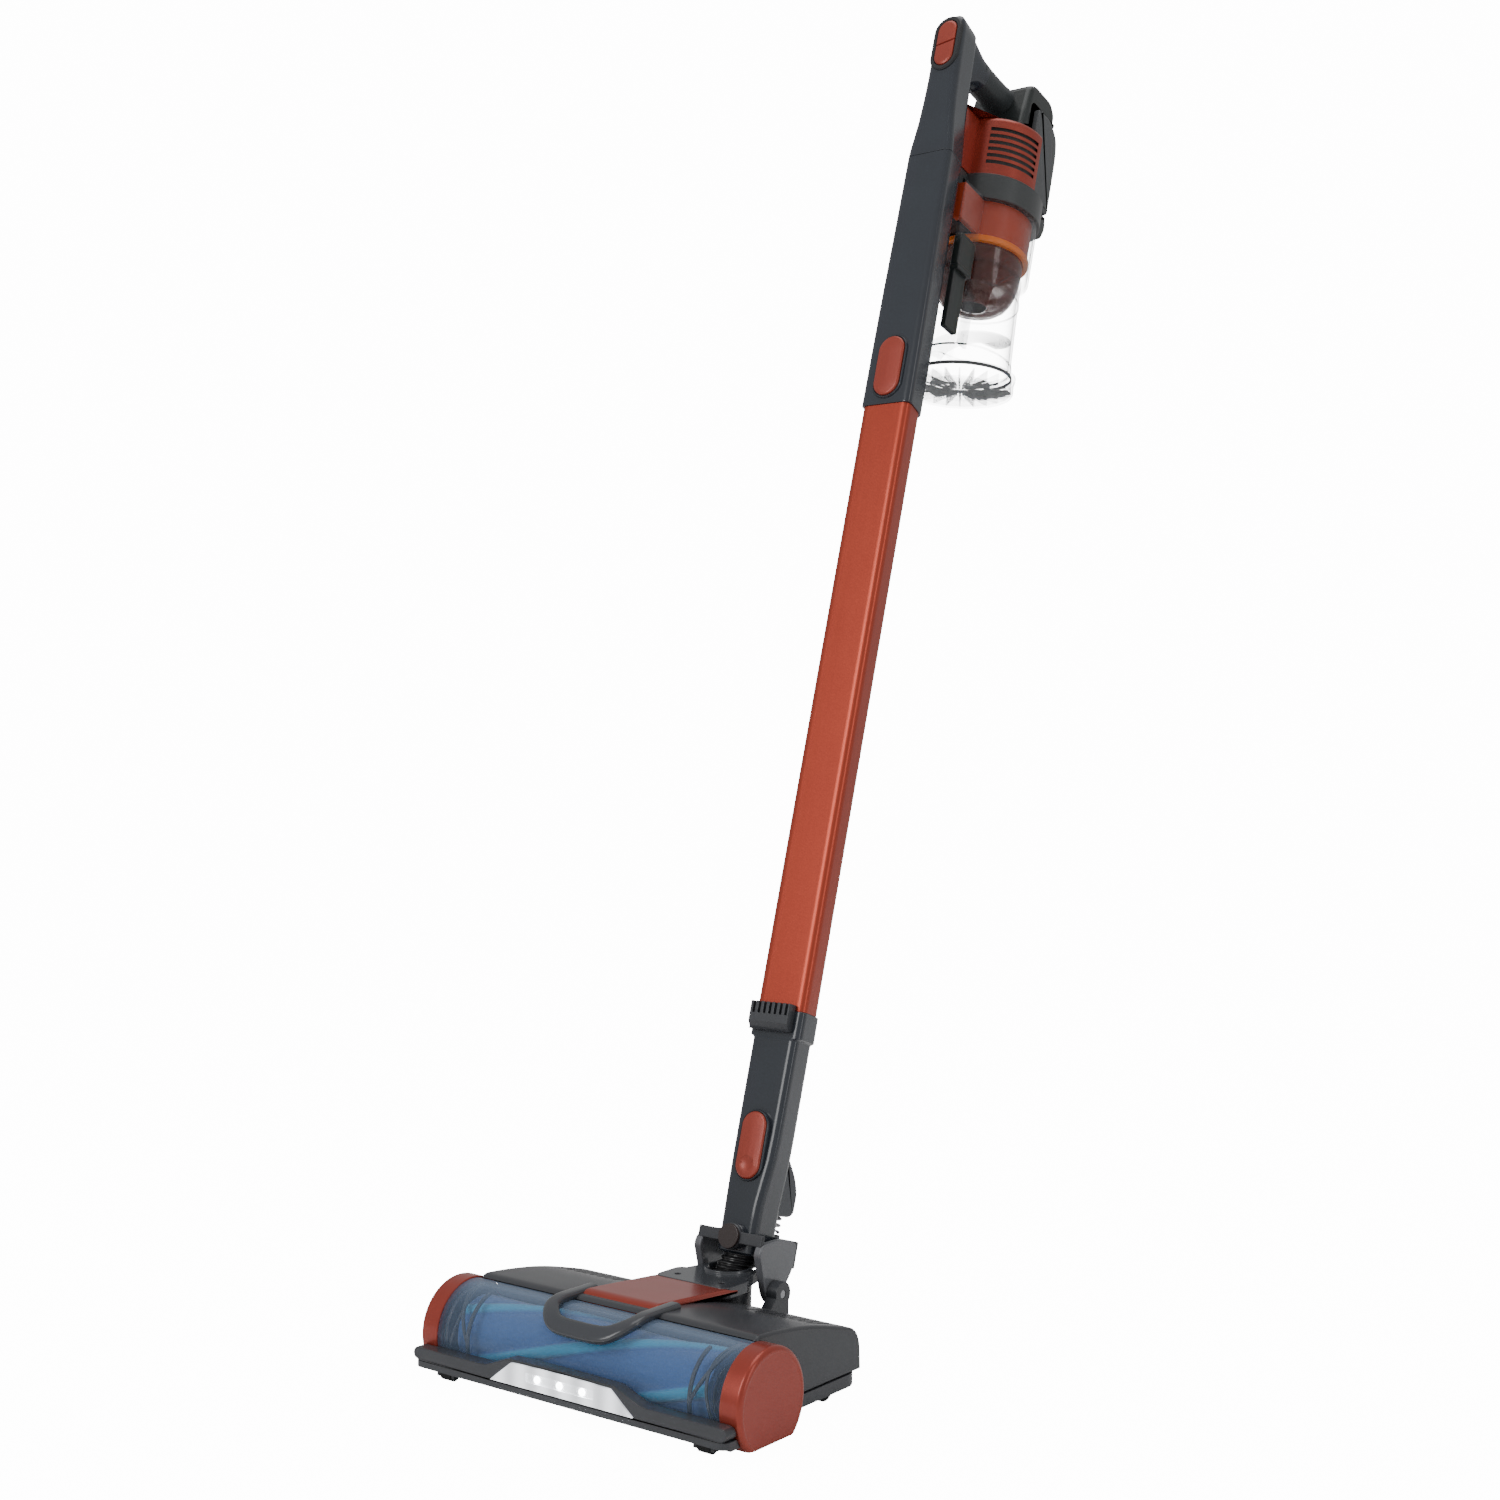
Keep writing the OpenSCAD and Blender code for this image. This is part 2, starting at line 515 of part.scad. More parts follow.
module end_cap() intersection() {
    translate([half_w - cap_w + 0.1, brush_y, brush_z]) rotate([0, 90, 0]) rotate_extrude()
        polygon(concat([[0, 10.5], [31.5, 10.5], [31.5, 0], [cap_r, 0]],
            arc([cap_r - 3, cap_w - 3.1], 3, 0, 90), [[0, cap_w - 0.1]]));
    translate([0, -10, 3]) cube([half_w + 10, 120, 100]);
}
module end_caps() color(copper) both() end_cap();
bump_top = 22.5;
lamp_top = 30;
bumper_front = mirrored(concat([[0, 13.35], [135, 13.35]], arc([135, 18], 4, -90, 0, 3), arc([135, 18.5], 4, 0, 90, 3),
    [[74, bump_top], [68, 23.2], [47, lamp_top + 1], [0, lamp_top + 1.6]]));
module front_prism(outline, y0, y1) translate([0, y1, 0]) rotate([90, 0, 0]) linear_extrude(y1 - y0) polygon(outline);
module bumper() color("#45474b") difference() {
    front_prism(bumper_front, 0, 14);
    barrel(brush_y, brush_z, win_r + 0.1, -200, 200);
    both() barrel(brush_y, brush_z, cap_r + 0.2, half_w - cap_w, 200);
    front_prism(mirrored([[0, 14], [64, 14], [44.5, lamp_top - 1], [0, lamp_top]]), -1, 2.2);
}
module lamp_panel() color("white") difference() {
    front_prism(mirrored([[0, 14.2], [63.4, 14.2], [44.3, lamp_top - 1.2], [0, lamp_top - 0.2]]), -0.8, 2.1);
    translate([-26, 0, 0]) front_prism([[-4, 19], [56, 19], [56, 25], [-4, 25]], -2, 0.2);
}
module lamp_leds() color("#fffbe8") for (x = [-20, 0, 20])
    translate([x, 0.2, 22]) rotate([90, 0, 0]) cylinder(r = 2.4, h = 1.2);
chassis_plan = mirrored(concat([[0, 0]], arc([132, 6], 6, -90, 0, 5), [[138, 16], [124, 16]],
    arc([108, head_d - 16], 16, 0, 90, 8), [[44, head_d], [41, 203], [31, 203], [31, 160], [0, 160]]));
module ear() across(concat(arc([tilt_y, tilt_z], 9, -40, 190, 14), [[170, 30], [170, 12], [196, 12], [202, 30]]), 31, 40);
module lower_chassis() color("#2c2e31") difference() {
    union() {
        difference() {
            prism(chassis_plan, 7, 15.8);
            prism(mirrored([[0, 74], [119, 74], [119, 160], [106, 168], [47, 168], [44, 157], [0, 157]]), 9.4, 30);
        }
        both() ear();
        both() translate([wheel_x - 4.4, wheel_y - 14, 7]) cube([18.8, 28, 17]);
        both() for (x = [106.4, 120.4]) translate([x, 8, 2.8]) cube([3, 9, 8]);
        // end plates carry the brush bearings
        both() difference() {
            barrel(brush_y, brush_z, 29.2, 121.6, 124.6);
            translate([0, 0, -20]) cube([200, 200, 24]);
        }
        // wall of the brush chamber behind the brush
        intersection() {
            difference() {
                barrel(brush_y, brush_z, 32, -121, 121);
                barrel(brush_y, brush_z, 29.6, -130, 130);
            }
            across([[50.4, 7], [90, 7], [90, 70], [50.4, 70]], -121, 121);
        }
        // air duct to the hose
        difference() {
            translate([-24, 74, 9]) cube([48, 84, 36]);
            translate([-22, 70, 11]) cube([44, 86, 32]);
        }
        translate([0, 181, 16]) difference() {
            cylinder(r = 17.2, h = 31.8);
            translate([0, 0, 3]) cylinder(r = 15.4, h = 40);
        }
        translate([-16, 150, 12]) cube([32, 20, 33]);
    }
    // the front lip is lower than the sole's rim and clear of the bumper and the caps
    translate([-200, -10, 13.3]) cube([400, 24.3, 20]);
    translate([-200, -10, 0]) cube([400, 16, 8.6]);
    both() barrel(brush_y, brush_z, cap_r + 0.2, half_w - cap_w, 200);
    // suction mouth and the port behind it
    translate([-121, 18, 0]) cube([242, 54, 14]);
    barrel(brush_y, brush_z, 29.4, -121.4, 121.4);
    translate([-20, 60, 14]) cube([40, 20, 26]);
    translate([-12, 150, 20]) cube([24, 26, 20]);
    both() barrel(tilt_y, tilt_z, 2.98, 25, 45);
    both() barrel(brush_y, brush_z, 5.05, 118, 130);
    both() wheel_pocket();
    both() barrel(roller_y, roller_r, roller_r + 0.7, 109.4, 120.4);
    both() barrel(roller_y, roller_r, 1.55, 100, 131);
    both() for (y = [84, 160]) translate([60, y, 5]) {
        cylinder(r = 3.02, h = 2.23);
        cylinder(r = 1.42, h = 20);
    }
    // room for the drive belt
    translate([pulley_x - 0.6, 50, 9.4]) cube([8.2, 34, 50]);
}
wheel_y = 140;
wheel_x = 106;
roller_y = 12.5;
roller_r = 4.9;
module wheel_pocket() {
    barrel(wheel_y, wheel_r, wheel_r + 1.2, wheel_x - 0.6, wheel_x + 10.6);
    barrel(wheel_y, wheel_r, 2.05, wheel_x - 5, wheel_x + 16);
}
module brush_core() color("#3f7fc4") union() {
    barrel(brush_y, brush_z, 18.5, -117, 108);
    both() barrel(brush_y, brush_z, 5, 100, 124);
}
module brush_bristles() color("#5db4e8") translate([-116, brush_y, brush_z]) rotate([0, 90, 0])
    linear_extrude(height = 223, twist = 150, slices = 24, $fn = 5) for (a = [0 : 90 : 270])
        rotate(a) translate([18.56, -1.6]) square([brush_r - 18.56, 3.2]);
pulley_x = 110;
module brush_pulley() color("#1d1d1f") difference() {
    barrel(brush_y, brush_z, 15, pulley_x, pulley_x + 7);
    barrel(brush_y, brush_z, 5, pulley_x - 1, pulley_x + 9);
}
motor_y = 104;
motor_z = 33;
belt_d = [motor_y - brush_y, motor_z - brush_z];
belt_a = atan2(belt_d[1], belt_d[0]);
belt_t = acos((15 - 8) / norm(belt_d));
function belt_loop(m) = concat(
    arc([brush_y, brush_z], 15.2 + m, belt_a + belt_t, belt_a + 360 - belt_t, 24),
    arc([motor_y, motor_z], 8.2 + m, belt_a - belt_t, belt_a + belt_t, 16));
module drive_belt() color("#111111") difference() {
    across(belt_loop(1.4), pulley_x + 1, pulley_x + 6);
    across(belt_loop(0), pulley_x, pulley_x + 8);
}
module brush_motor() color("#9a9da1") difference() {
    barrel(motor_y, motor_z, 14, 52, pulley_x - 3);
    barrel(motor_y, motor_z, 2.05, 60, pulley_x + 10);
}
module motor_pulley() color("#1d1d1f") union() {
    barrel(motor_y, motor_z, 8, pulley_x, pulley_x + 7);
    barrel(motor_y, motor_z, 2, 62, pulley_x + 1);
}
module rear_wheel() union() {
    difference() {
        barrel(wheel_y, wheel_r, wheel_r, wheel_x, wheel_x + 10);
        both_faces() barrel(wheel_y, wheel_r, wheel_r - 3, -1, 2);
    }
    barrel(wheel_y, wheel_r, 2, wheel_x - 4, wheel_x + 14);
}
module both_faces() { translate([wheel_x - 0.5, 0, 0]) children(); translate([wheel_x + 9, 0, 0]) children(); }
module rear_wheel_right() color("#161617") rear_wheel();
module rear_wheel_left() color("#161617") mirror([1, 0, 0]) rear_wheel();
module front_roller() union() {
    barrel(roller_y, roller_r, roller_r, 109.7, 120.1);
    barrel(roller_y, roller_r, 1.5, 106.4, 123.4);
}
module front_roller_right() color("#161617") front_roller();
module front_roller_left() color("#161617") mirror([1, 0, 0]) front_roller();
module sole_screws() color("silver") both() for (y = [84, 160]) translate([60, y, 6.2]) union() {
    cylinder(r = 3, h = 1);
    cylinder(r = 1.4, h = 6);
}

lower_duct();
upper_duct();
button_bezel();
power_button();
mode_button();
handle_grip();
handle_root();
motor_housing();
motor_can();
motor_shaft();
fan_impeller();
exhaust_filter();
housing_band();
separator_top();
accent_ring();
cyclone_cone();
mesh_screen();
inlet_port();
battery_pack();
battery_latch();
dust_cup();
swirl_vane();
cup_lid();
lid_seal();
lid_pin();
ejector_slider();
wand_release();
wand_tube();
wand_plug();
neck_tube();
neck_plug();
comb_grille();
neck_release();
neck_spring();
yoke();
steer_pins();
tilt_pins();
flex_hose();
hose_collar();
top_plate();
upper_cover();
carry_loop();
front_window();
window_ribs();
end_caps();
bumper();
lamp_panel();
lamp_leds();
lower_chassis();
brush_core();
brush_bristles();
brush_pulley();
drive_belt();
brush_motor();
motor_pulley();
rear_wheel_left();
rear_wheel_right();
front_roller_left();
front_roller_right();
sole_screws();
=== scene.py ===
import bpy, bmesh, json, math
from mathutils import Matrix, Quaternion, Vector, noise


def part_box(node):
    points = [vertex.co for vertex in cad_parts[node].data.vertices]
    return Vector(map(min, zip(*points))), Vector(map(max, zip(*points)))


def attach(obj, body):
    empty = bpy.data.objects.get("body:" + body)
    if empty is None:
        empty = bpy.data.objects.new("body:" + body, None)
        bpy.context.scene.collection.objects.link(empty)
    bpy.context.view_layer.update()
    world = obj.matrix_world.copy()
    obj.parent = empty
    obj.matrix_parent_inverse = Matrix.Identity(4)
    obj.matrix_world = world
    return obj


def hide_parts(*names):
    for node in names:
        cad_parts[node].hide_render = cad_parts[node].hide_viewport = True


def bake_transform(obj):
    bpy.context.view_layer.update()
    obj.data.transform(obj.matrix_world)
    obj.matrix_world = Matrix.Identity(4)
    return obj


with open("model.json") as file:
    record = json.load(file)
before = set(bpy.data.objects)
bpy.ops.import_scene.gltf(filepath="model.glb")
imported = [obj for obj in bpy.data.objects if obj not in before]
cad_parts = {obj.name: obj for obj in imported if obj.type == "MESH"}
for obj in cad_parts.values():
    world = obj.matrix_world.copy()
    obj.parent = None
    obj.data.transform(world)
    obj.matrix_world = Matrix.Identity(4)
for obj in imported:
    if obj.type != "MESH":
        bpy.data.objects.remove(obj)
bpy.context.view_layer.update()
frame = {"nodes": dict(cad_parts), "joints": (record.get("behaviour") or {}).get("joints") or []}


# ---- Lower chassis ----
# The sole of the floor head, one ribbed moulding in dark grey ABS. It carries the brush chamber,
# the wheels and the two ears that hold the neck, and the cover is screwed down on to it.
def joint(name):
    return next(j for j in frame["joints"] if j["name"] == name)


def joining(tree, out_of, name, into, socket):
    tree.links.new(out_of.outputs[name], into.inputs[socket])


def shader_group(name, inputs, outputs):
    """An empty effect with float or colour sockets, and the nodes at its two ends."""
    tree = bpy.data.node_groups.new(name, "ShaderNodeTree")
    for label, kind, value in inputs:
        tree.interface.new_socket(label, in_out="INPUT", socket_type=kind).default_value = value
    for label, kind in outputs:
        tree.interface.new_socket(label, in_out="OUTPUT", socket_type=kind)
    return tree, tree.nodes.new("NodeGroupInput"), tree.nodes.new("NodeGroupOutput")


def math_node(tree, operation, a, b):
    """A Math node on two things, each a number or a (node, output name) pair."""
    node = tree.nodes.new("ShaderNodeMath")
    node.operation = operation
    for k, value in enumerate((a, b)):
        if isinstance(value, tuple):
            tree.links.new(value[0].outputs[value[1]], node.inputs[k])
        else:
            node.inputs[k].default_value = value
    return node


def placed(tree, kind, group=None, **values):
    """A new node with some of its inputs set. An effect also names its group."""
    node = tree.nodes.new(kind)
    if group:
        node.node_tree = group
    for socket, value in values.items():
        node.inputs[socket.replace("_", " ")].default_value = value
    return node


# Fine leather of a spark-eroded tool, and the slow drift of gloss that handling leaves.
grain, ends, out = shader_group("Moulded grain",
    [("Size", "NodeSocketFloat", 900), ("Roughness", "NodeSocketFloat", 0.4), ("Drift", "NodeSocketFloat", 0.1)],
    [("Roughness", "NodeSocketFloat"), ("Height", "NodeSocketFloat")])
where = placed(grain, "ShaderNodeTexCoord")
fine = placed(grain, "ShaderNodeTexNoise")
slow = placed(grain, "ShaderNodeTexNoise", Scale=28, Detail=3)
for texture in (fine, slow):
    joining(grain, where, "Object", texture, "Vector")
joining(grain, ends, "Size", fine, "Scale")
centred = math_node(grain, "SUBTRACT", (slow, "Fac"), 0.5)
drifted = math_node(grain, "MULTIPLY", (centred, "Value"), (ends, "Drift"))
rough = math_node(grain, "ADD", (drifted, "Value"), (ends, "Roughness"))
joining(grain, rough, "Value", out, "Roughness")
joining(grain, fine, "Fac", out, "Height")

# Two close tones of one pigment, mixed in the melt.
tone, ends, out = shader_group("Pigment",
    [("Light", "NodeSocketColor", (1, 1, 1, 1)), ("Deep", "NodeSocketColor", (0, 0, 0, 1)),
     ("Size", "NodeSocketFloat", 40)],
    [("Colour", "NodeSocketColor")])
where = placed(tone, "ShaderNodeTexCoord")
cloud = placed(tone, "ShaderNodeTexNoise", Detail=4)
mixed = placed(tone, "ShaderNodeMix")
mixed.data_type = "RGBA"
joining(tone, where, "Object", cloud, "Vector")
joining(tone, ends, "Size", cloud, "Scale")
tone.links.new(cloud.outputs["Fac"], mixed.inputs[0])
tone.links.new(ends.outputs["Light"], mixed.inputs[6])
tone.links.new(ends.outputs["Deep"], mixed.inputs[7])
tone.links.new(mixed.outputs[2], out.inputs["Colour"])


def new_finish(name, **values):
    """A material with plain values on its shader: gives the material, its tree and its shader."""
    finish = bpy.data.materials.new(name)
    finish.use_nodes = True
    shader = finish.node_tree.nodes["Principled BSDF"]
    for socket, value in values.items():
        shader.inputs[socket.replace("_", " ")].default_value = value
    return finish, finish.node_tree, shader


def dyed(tree, shader, light, deep):
    """Colours a shader with a pigment's two tones."""
    dye = placed(tree, "ShaderNodeGroup", tone, Light=(*light, 1), Deep=(*deep, 1))
    joining(tree, dye, "Colour", shader, "Base Color")
    return dye


def moulded(name, light, deep, roughness, drift=0.1, size=900, relief=0.05, coat=0.0, metallic=0.0):
    """A moulded or coated finish: its two tones, gloss, and the relief of its grain."""
    finish, tree, shader = new_finish(name, Metallic=metallic, Coat_Weight=coat, Coat_Roughness=0.12)
    skin = placed(tree, "ShaderNodeGroup", grain, Size=size, Roughness=roughness, Drift=drift)
    bump = placed(tree, "ShaderNodeBump", Strength=relief, Distance=0.0002)
    dyed(tree, shader, light, deep)
    joining(tree, skin, "Roughness", shader, "Roughness")
    joining(tree, skin, "Height", bump, "Height")
    joining(tree, bump, "Normal", shader, "Normal")
    return finish


# Edges that bend less than the limit shade as one surface, and the rest stay crisp.
crease = bpy.data.node_groups.new("Crease", "GeometryNodeTree")
crease.interface.new_socket("Geometry", in_out="INPUT", socket_type="NodeSocketGeometry")
crease.interface.new_socket("Geometry", in_out="OUTPUT", socket_type="NodeSocketGeometry")
come, leave = crease.nodes.new("NodeGroupInput"), crease.nodes.new("NodeGroupOutput")
faces_on = crease.nodes.new("GeometryNodeSetShadeSmooth")
edges_off = crease.nodes.new("GeometryNodeSetShadeSmooth")
edges_off.domain = "EDGE"
edges_off.inputs["Shade Smooth"].default_value = False
angle = crease.nodes.new("GeometryNodeInputMeshEdgeAngle")
steep = crease.nodes.new("FunctionNodeCompare")
steep.operation = "GREATER_THAN"
steep.inputs["B"].default_value = math.radians(32)
crease.links.new(come.outputs[0], faces_on.inputs["Geometry"])
crease.links.new(faces_on.outputs[0], edges_off.inputs["Geometry"])
crease.links.new(angle.outputs["Unsigned Angle"], steep.inputs["A"])
crease.links.new(steep.outputs[0], edges_off.inputs["Selection"])
crease.links.new(edges_off.outputs[0], leave.inputs[0])


def smooth(piece):
    piece.modifiers.new("Crease", "NODES").node_group = crease
    piece.modifiers.new("Flats", "WEIGHTED_NORMAL").keep_sharp = True


def dress(node, finish, edge=0.4):
    """Gives a carried-over part its finish, and takes the sharpness off its edges (in mm)."""
    part = frame["nodes"][node]
    part.data.materials.clear()
    part.data.materials.append(finish)
    part.data.polygons.foreach_set("material_index", [0] * len(part.data.polygons))
    custom = part.data.attributes.get("custom_normal")
    if custom:
        part.data.attributes.remove(custom)
    part.modifiers.new("Weld", "WELD").merge_threshold = 2e-6
    flat = part.modifiers.new("Flat faces", "DECIMATE")
    flat.decimate_type = "DISSOLVE"
    flat.angle_limit = math.radians(0.6)
    if edge:
        bevel = part.modifiers.new("Soft edges", "BEVEL")
        bevel.width = edge / 1000
        bevel.segments = 2
        bevel.limit_method = "ANGLE"
        bevel.angle_limit = math.radians(33)
        bevel.use_clamp_overlap = False
    smooth(part)
    return part


dark_abs = moulded("Dark grey ABS", (0.055, 0.058, 0.066), (0.042, 0.045, 0.052), 0.36, coat=0.25)
dress("lower_chassis", dark_abs, 0.5)

# ---- Sole screws ----
# Four zinc-plated self-tapping screws, driven up through the sole into the cover.
zinc = moulded("Zinc plate", (0.5, 0.5, 0.52), (0.38, 0.38, 0.4), 0.32, metallic=1.0)
dress("sole_screws", zinc, 0.1)

# ---- Rear wheels and front rollers ----
# Small black wheels with a soft overmoulded tread, each turned on its own axle pin and clipped
# into a pocket of the sole.
tread = moulded("Soft tread", (0.02, 0.02, 0.022), (0.012, 0.012, 0.014), 0.7, size=1500, relief=0.2)
for wheel in ("rear_wheel_left", "rear_wheel_right", "front_roller_left", "front_roller_right"):
    dress(wheel, tread, 0.3)

# ---- Brush drive ----
# A can motor behind the brush turns it through a toothed belt. The can is drawn steel, the belt
# is neoprene, and both pulleys are glass-filled nylon pressed on to their shafts.
drawn_steel = moulded("Drawn steel", (0.55, 0.55, 0.56), (0.42, 0.42, 0.44), 0.28, size=400, metallic=1.0)
black_nylon = moulded("Black nylon", (0.03, 0.03, 0.033), (0.018, 0.018, 0.02), 0.5, relief=0.12)
dress("brush_motor", drawn_steel, 0.5)
dress("drive_belt", tread, 0)
dress("motor_pulley", black_nylon, 0.2)
dress("brush_pulley", black_nylon, 0.2)


# ---- Brush roll ----
# An aluminium core wrapped in soft blue nylon pile, with four brighter tufted strips that wind
# round it like a screw. It lifts out at one end.
def in_row(x, y, z):
    return Vector((x, y, z)) / 1000


def all_round(n):
    """Even steps round a full circle, in radians."""
    return [2 * math.pi * k / n for k in range(n)]


def loft(rings, ends=True, loop=False):
    """Skins a row of closed rings, and closes its ends, or joins the last ring to the first."""
    n, m = len(rings[0]), len(rings)
    faces = [(a * n + i, a * n + (i + 1) % n, (a + 1) % m * n + (i + 1) % n, (a + 1) % m * n + i)
             for a in range(m if loop else m - 1) for i in range(n)]
    if ends and not loop:
        faces += [tuple(range(n - 1, -1, -1)), tuple(range((m - 1) * n, m * n))]
    return [p for ring in rings for p in ring], faces


def together(*shapes):
    """Several closed shapes as one mesh."""
    points, faces = [], []
    for more_points, more_faces in shapes:
        faces += [tuple(i + len(points) for i in face) for face in more_faces]
        points += more_points
    return points, faces


def made(name, shape, body, slot, finish, *stands_for):
    """Turns points and faces into a piece that rides on a body and stands for its plain parts.
    With no body it stays free."""
    mesh = bpy.data.meshes.new(name)
    mesh.from_pydata(shape[0], [], shape[1])
    rough_mesh = bmesh.new()
    rough_mesh.from_mesh(mesh)
    bmesh.ops.remove_doubles(rough_mesh, verts=rough_mesh.verts, dist=1e-6)
    bmesh.ops.recalc_face_normals(rough_mesh, faces=rough_mesh.faces)
    rough_mesh.to_mesh(mesh)
    rough_mesh.free()
    mesh.materials.append(finish)
    piece = bpy.data.objects.new(name, mesh)
    bpy.context.scene.collection.objects.link(piece)
    smooth(piece)
    if body:
        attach(piece, body)
    if stands_for:
        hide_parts(*stands_for)
    return piece


roll = Vector(joint("brush_spin")["pos_m"]) * 1000
roll_ends = [corner.x * 1000 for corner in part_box("brush_bristles")]
roll_twist = math.radians(150) / (roll_ends[1] - roll_ends[0])
pile_r, strip_r = 24.2, 26.9


def ridge(x, a):
    """1 along the middle of a strip, falling to 0 beside it."""
    off = (a - roll_twist * (x - roll_ends[0])) % (math.pi / 2) - math.pi / 4
    return max(0.0, 1 - (off / 0.2) ** 2)


def roll_ring(x, shrink=0.0):
    ring = []
    for a in all_round(120):
        tuft = noise.noise(Vector((x * 0.9, 9 * math.cos(a), 9 * math.sin(a))))
        r = pile_r + (strip_r - pile_r) * ridge(x, a) ** 0.7 + 0.35 * tuft - shrink
        ring.append(in_row(x, roll.y - r * math.cos(a), roll.z + r * math.sin(a)))
    return ring


steps = 150
rings = [roll_ring(roll_ends[0] + (roll_ends[1] - roll_ends[0]) * k / steps) for k in range(steps + 1)]
rings = [roll_ring(roll_ends[0] - 1.2, 3)] + rings + [roll_ring(roll_ends[1] + 0.6, 3)]

nylon_pile, tree, shader = new_finish("Blue nylon pile", Roughness=0.62, Sheen_Weight=0.5)
where = placed(tree, "ShaderNodeTexCoord")
apart = placed(tree, "ShaderNodeSeparateXYZ")
joining(tree, where, "Object", apart, "Vector")
depth = math_node(tree, "SUBTRACT", (apart, "Y"), roll.y / 1000)
height = math_node(tree, "SUBTRACT", (apart, "Z"), roll.z / 1000)
depth2 = math_node(tree, "MULTIPLY", (depth, "Value"), (depth, "Value"))
height2 = math_node(tree, "MULTIPLY", (height, "Value"), (height, "Value"))
both2 = math_node(tree, "ADD", (depth2, "Value"), (height2, "Value"))
radius = math_node(tree, "SQRT", (both2, "Value"), 0)
spread = placed(tree, "ShaderNodeMapRange", From_Min=(pile_r + 0.4) / 1000, From_Max=(strip_r - 0.6) / 1000)
joining(tree, radius, "Value", spread, "Value")
hairs = placed(tree, "ShaderNodeTexNoise", Scale=1400, Detail=5)
joining(tree, where, "Object", hairs, "Vector")
blues = tree.nodes.new("ShaderNodeMix")
blues.data_type = "RGBA"
blues.inputs[6].default_value = (0.035, 0.17, 0.56, 1)
blues.inputs[7].default_value = (0.02, 0.52, 0.92, 1)
tree.links.new(spread.outputs["Result"], blues.inputs[0])
shaded = tree.nodes.new("ShaderNodeMix")
shaded.data_type = "RGBA"
shaded.blend_type = "MULTIPLY"
shaded.inputs[0].default_value = 0.55
tree.links.new(blues.outputs[2], shaded.inputs[6])
tree.links.new(hairs.outputs["Fac"], shaded.inputs[7])
tree.links.new(shaded.outputs[2], shader.inputs["Base Color"])
bump = placed(tree, "ShaderNodeBump", Strength=0.6, Distance=0.0006)
joining(tree, hairs, "Fac", bump, "Height")
joining(tree, bump, "Normal", shader, "Normal")
made("brush_pile", loft(rings), "brush", "brush", nylon_pile, "brush_bristles")
dress("brush_core", drawn_steel, 0.2)


# ---- Front window ----
# A clear polycarbonate visor, 2 mm thick and faintly blue, that covers the brush from the cover's
# edge round to the bumper. It clips in between the end caps.
def clear_plastic(name, colour, thin, thick, power):
    """See-through moulding: nearly invisible face on, and it shows at its rims and edges."""
    finish, tree, shader = new_finish(name, Roughness=0.06, IOR=1.55, Coat_Weight=0.6, Coat_Roughness=0.03)
    dyed(tree, shader, colour, [c * 0.9 for c in colour])
    rim = placed(tree, "ShaderNodeLayerWeight", Blend=0.5)
    bent = math_node(tree, "POWER", (rim, "Facing"), power)
    spread = math_node(tree, "MULTIPLY", (bent, "Value"), thick - thin)
    seen = math_node(tree, "ADD", (spread, "Value"), thin)
    joining(tree, seen, "Value", shader, "Alpha")
    return finish


blue_clear = clear_plastic("Clear blue polycarbonate", (0.30, 0.42, 0.62), 0.07, 0.8, 2.0)
head_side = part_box("front_window")[1].x * 1000
visor_r = roll.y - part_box("front_window")[0].y * 1000
visor_wall = 2.0


def drum_point(x, a, r):
    """A point round the brush's axis: a is 0 in front of it and 90 degrees above it."""
    return in_row(x, roll.y - r * math.cos(a), roll.z + r * math.sin(a))


low_a = math.radians(-14)
high_a = math.pi - math.acos((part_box("front_window")[1].y * 1000 - roll.y) / visor_r)
rings = []
for k in range(41):
    x = -head_side + 2 * head_side * k / 40
    arc = [low_a + (high_a - low_a) * i / 40 for i in range(41)]
    outer = [drum_point(x, a, visor_r) for a in arc]
    inner = [drum_point(x, a, visor_r - visor_wall) for a in reversed(arc)]
    rings.append(outer + inner)
made("visor", loft(rings), "head", "window", blue_clear, "front_window")

# ---- Window ribs ----
# Dark ribs moulded inside each end of the window. One runs round it, and one leaves that at the
# front and sweeps outwards as it climbs.
dark_rib = moulded("Rib grey", (0.05, 0.055, 0.065), (0.035, 0.04, 0.045), 0.4)


def strip(path, width, depth):
    """A flat strip along (x, angle) points inside the window."""
    rings = []
    for x, a in path:
        r = visor_r - visor_wall - 0.1
        rings.append([drum_point(x + w, a, r - d) for w, d in
                      ((-width / 2, 0), (width / 2, 0), (width / 2, depth), (-width / 2, depth))])
    return loft(rings)


shapes = []
for side in (-1, 1):
    straight = [(side * 99, low_a + (1.25 - low_a) * k / 24) for k in range(25)]
    sweep = [(side * (99 + 17 * math.sin(math.pi / 2 * k / 24)), 1.55 * k / 24) for k in range(25)]
    bow = [(side * (117 - 7 * math.sin(math.pi * k / 24)), low_a + (high_a - low_a) * k / 24)
           for k in range(25)]
    shapes += [strip(straight, 2.6, 1.6), strip(sweep, 2.4, 1.6), strip(bow, 1.8, 1.2)]
made("curved_ribs", together(*shapes), "head", "charcoal", dark_rib, "window_ribs")

# ---- End caps ----
# Round orange caps, moulded in metallic ABS with a rolled rim, flat underneath where they clear
# the floor. The right one twists off to free the brush.
copper_abs = moulded("Copper metallic plastic", (0.42, 0.058, 0.034), (0.36, 0.048, 0.03), 0.30, drift=0.08,
                     size=2500, relief=0.03, coat=0.35, metallic=0.45)
cap_low, cap_high = [corner * 1000 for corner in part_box("end_caps")]
cap_in = head_side + 0.1
cap_flat = cap_low.z


def spun_x(profile):
    """Revolves a closed (radius, x) profile round the brush's axis."""
    return loft([[drum_point(x, a, r) for r, x in profile] for a in all_round(128)], loop=True)


